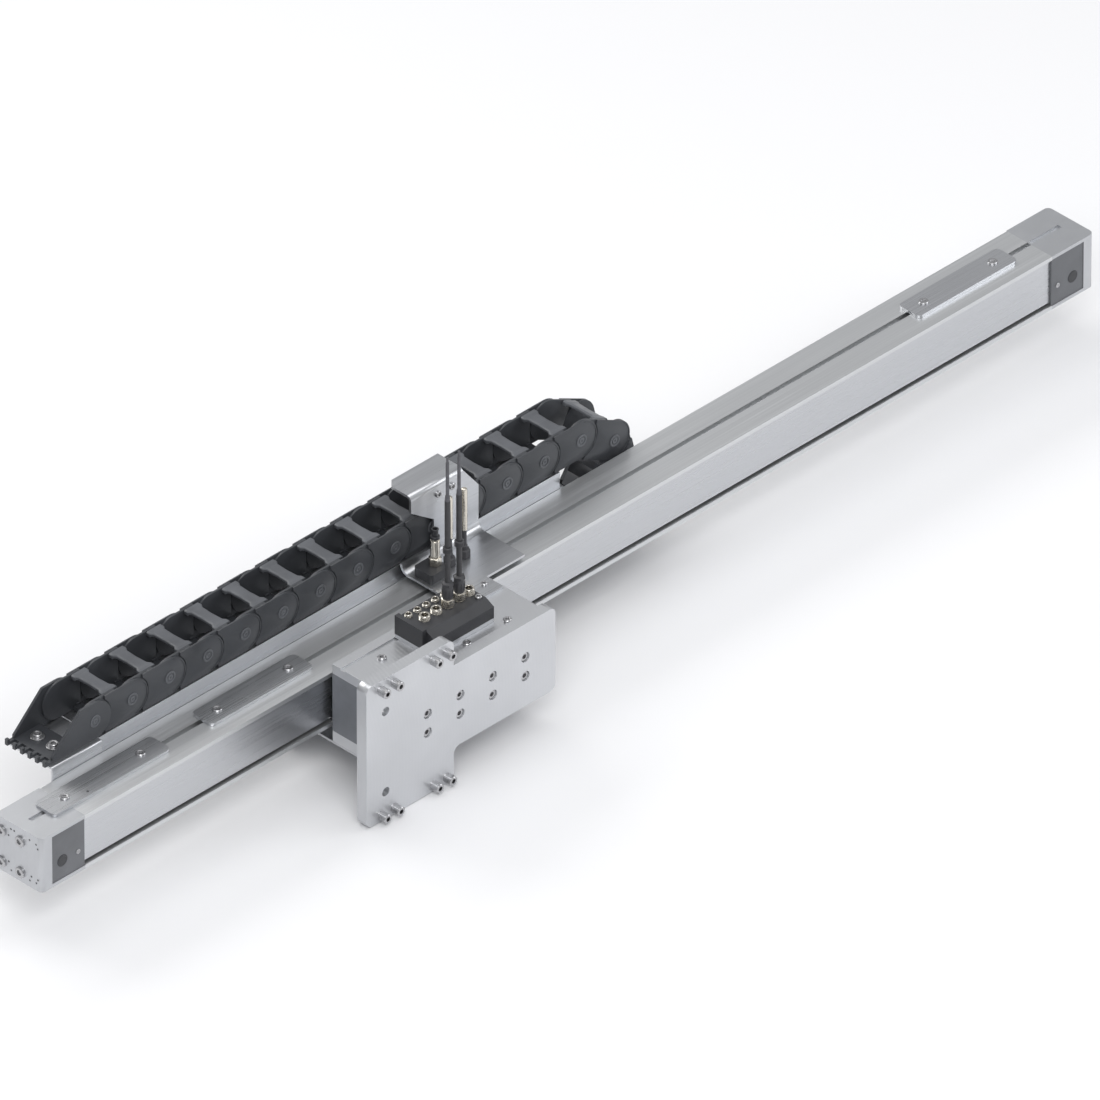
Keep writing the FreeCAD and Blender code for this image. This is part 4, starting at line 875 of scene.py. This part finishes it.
first_x, first_z = CHAIN_HINGE
upper = [(first_x + number * CHAIN_PITCH, first_z, 0) for number in range(UPPER_LINKS)]
bend_x = first_x + UPPER_LINKS * CHAIN_PITCH
bend = []
hinge_x, hinge_z, turn = bend_x, first_z, FIRST_TURN
while turn < 180:
    bend.append((hinge_x, hinge_z, turn))
    hinge_x += CHAIN_PITCH * math.cos(math.radians(turn))
    hinge_z -= CHAIN_PITCH * math.sin(math.radians(turn))
    turn += TURN
lower_x, lower_z = hinge_x, hinge_z
lower = [(lower_x - number * CHAIN_PITCH, lower_z, 180) for number in range(LOWER_LINKS)]
for kind, slot, unit, width in (("links", "chain", link_mesh, 0.35), ("bars", "chain_bar", bar_mesh, 0.3),
                                ("pins", "chain_bar", pins_mesh, 0.08)):
    upper_node, loop_node, lower_node = [
        [] if kind == "pins" else [f"chain_{part}_{kind}"] for part in ("upper", "loop", "lower")]
    top_run = run(f"upper_chain_{kind}", None, slot, unit, upper, upper_node, width)
    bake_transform(top_run)
    run(f"loop_chain_{kind}", "chain_loop", slot, unit, bend, loop_node, width)
    for number, hinge in enumerate(lower):
        link = run(f"lower_chain_{kind}_{number + 1}", None, slot, unit, [hinge], lower_node, width)
        follow_evenly(link)
        lower_node = []


# Fixed connector: its hinge pin and the screws in its floor

mesh = bmesh.new()
hinge_pin(mesh, (first_x, CHAIN_NEAR, first_z), -1, 0.7)
piece("fixed_end_pin", "root", "chain_bar", mesh)
mesh = bmesh.new()
for spot_y in CONNECTOR_SCREWS_Y:
    washer = [(6.6, 0), (6.6, 1), (6.3, WASHER_HEIGHT), (5.0, WASHER_HEIGHT)]
    turned(mesh, washer, (CONNECTOR_SCREWS_X, spot_y, CONNECTOR_FLOOR))
    seat = (CONNECTOR_SCREWS_X, spot_y, CONNECTOR_FLOOR + WASHER_HEIGHT)
    cap_screw(mesh, seat, "z", 1, radius=4.4, height=3, knurled=True)
piece("fixed_end_screws", "root", "screw", mesh)


# Studio: pale floor and soft light

def plain(name, color, roughness):
    """A matt surface with hardly any grain."""
    nodes = Nodes(name)
    tone = nodes.blend(nodes.noise(2.0), shade(color, 0.99), color)
    rough = nodes.between(nodes.noise(30.0), roughness - 0.02, roughness + 0.02)
    return nodes.finish(tone, rough, nodes.bump(nodes.noise(300.0), 0.02, 0.0001))


FLOOR_REACH = 120
FLOOR_CLEARANCE = 0.0006
floor_mesh = bpy.data.meshes.new("studio_floor")
level = cad_low[2] - FLOOR_CLEARANCE
corners = [(FLOOR_REACH * x, FLOOR_REACH * y, level) for x, y in ((-1, -1), (1, -1), (1, 1), (-1, 1))]
floor_mesh.from_pydata(corners, [], [(0, 1, 2, 3)])
floor_mesh.materials.append(plain("floor", (0.86, 0.86, 0.87), 0.7))
floor = bpy.data.objects.new("studio_floor", floor_mesh)
bpy.context.scene.collection.objects.link(floor)


def softbox(name, spot, width, height, power, color=(1, 1, 1)):
    """A soft rectangular lamp aimed at the middle of the part."""
    data = bpy.data.lights.new(name, "AREA")
    data.shape = "RECTANGLE"
    data.size = width
    data.size_y = height
    data.energy = power
    data.color = color
    light = bpy.data.objects.new(name, data)
    light.location = spot
    light.rotation_euler = (Vector(PART_MIDDLE) - Vector(spot)).to_track_quat("-Z", "Y").to_euler()
    bpy.context.scene.collection.objects.link(light)


PART_MIDDLE = (0.62, 0.0, 0.05)
softbox("key", (-0.9, -1.6, 2.3), 1.8, 1.4, power=38)
softbox("fill", (2.6, -1.5, 1.3), 1.6, 1.2, power=16, color=(0.97, 0.98, 1.0))
softbox("back", (0.4, 2.2, 1.9), 2.4, 1.0, power=26, color=(1.0, 0.99, 0.97))
softbox("top", (0.8, 0.2, 2.8), 2.6, 1.6, power=24)
world = bpy.data.worlds.new("studio")
world.use_nodes = True
background = world.node_tree.nodes["Background"]
background.inputs["Color"].default_value = (0.93, 0.94, 0.96, 1)
background.inputs["Strength"].default_value = 0.5
bpy.context.scene.world = world
bpy.context.scene.view_settings.view_transform = "Standard"
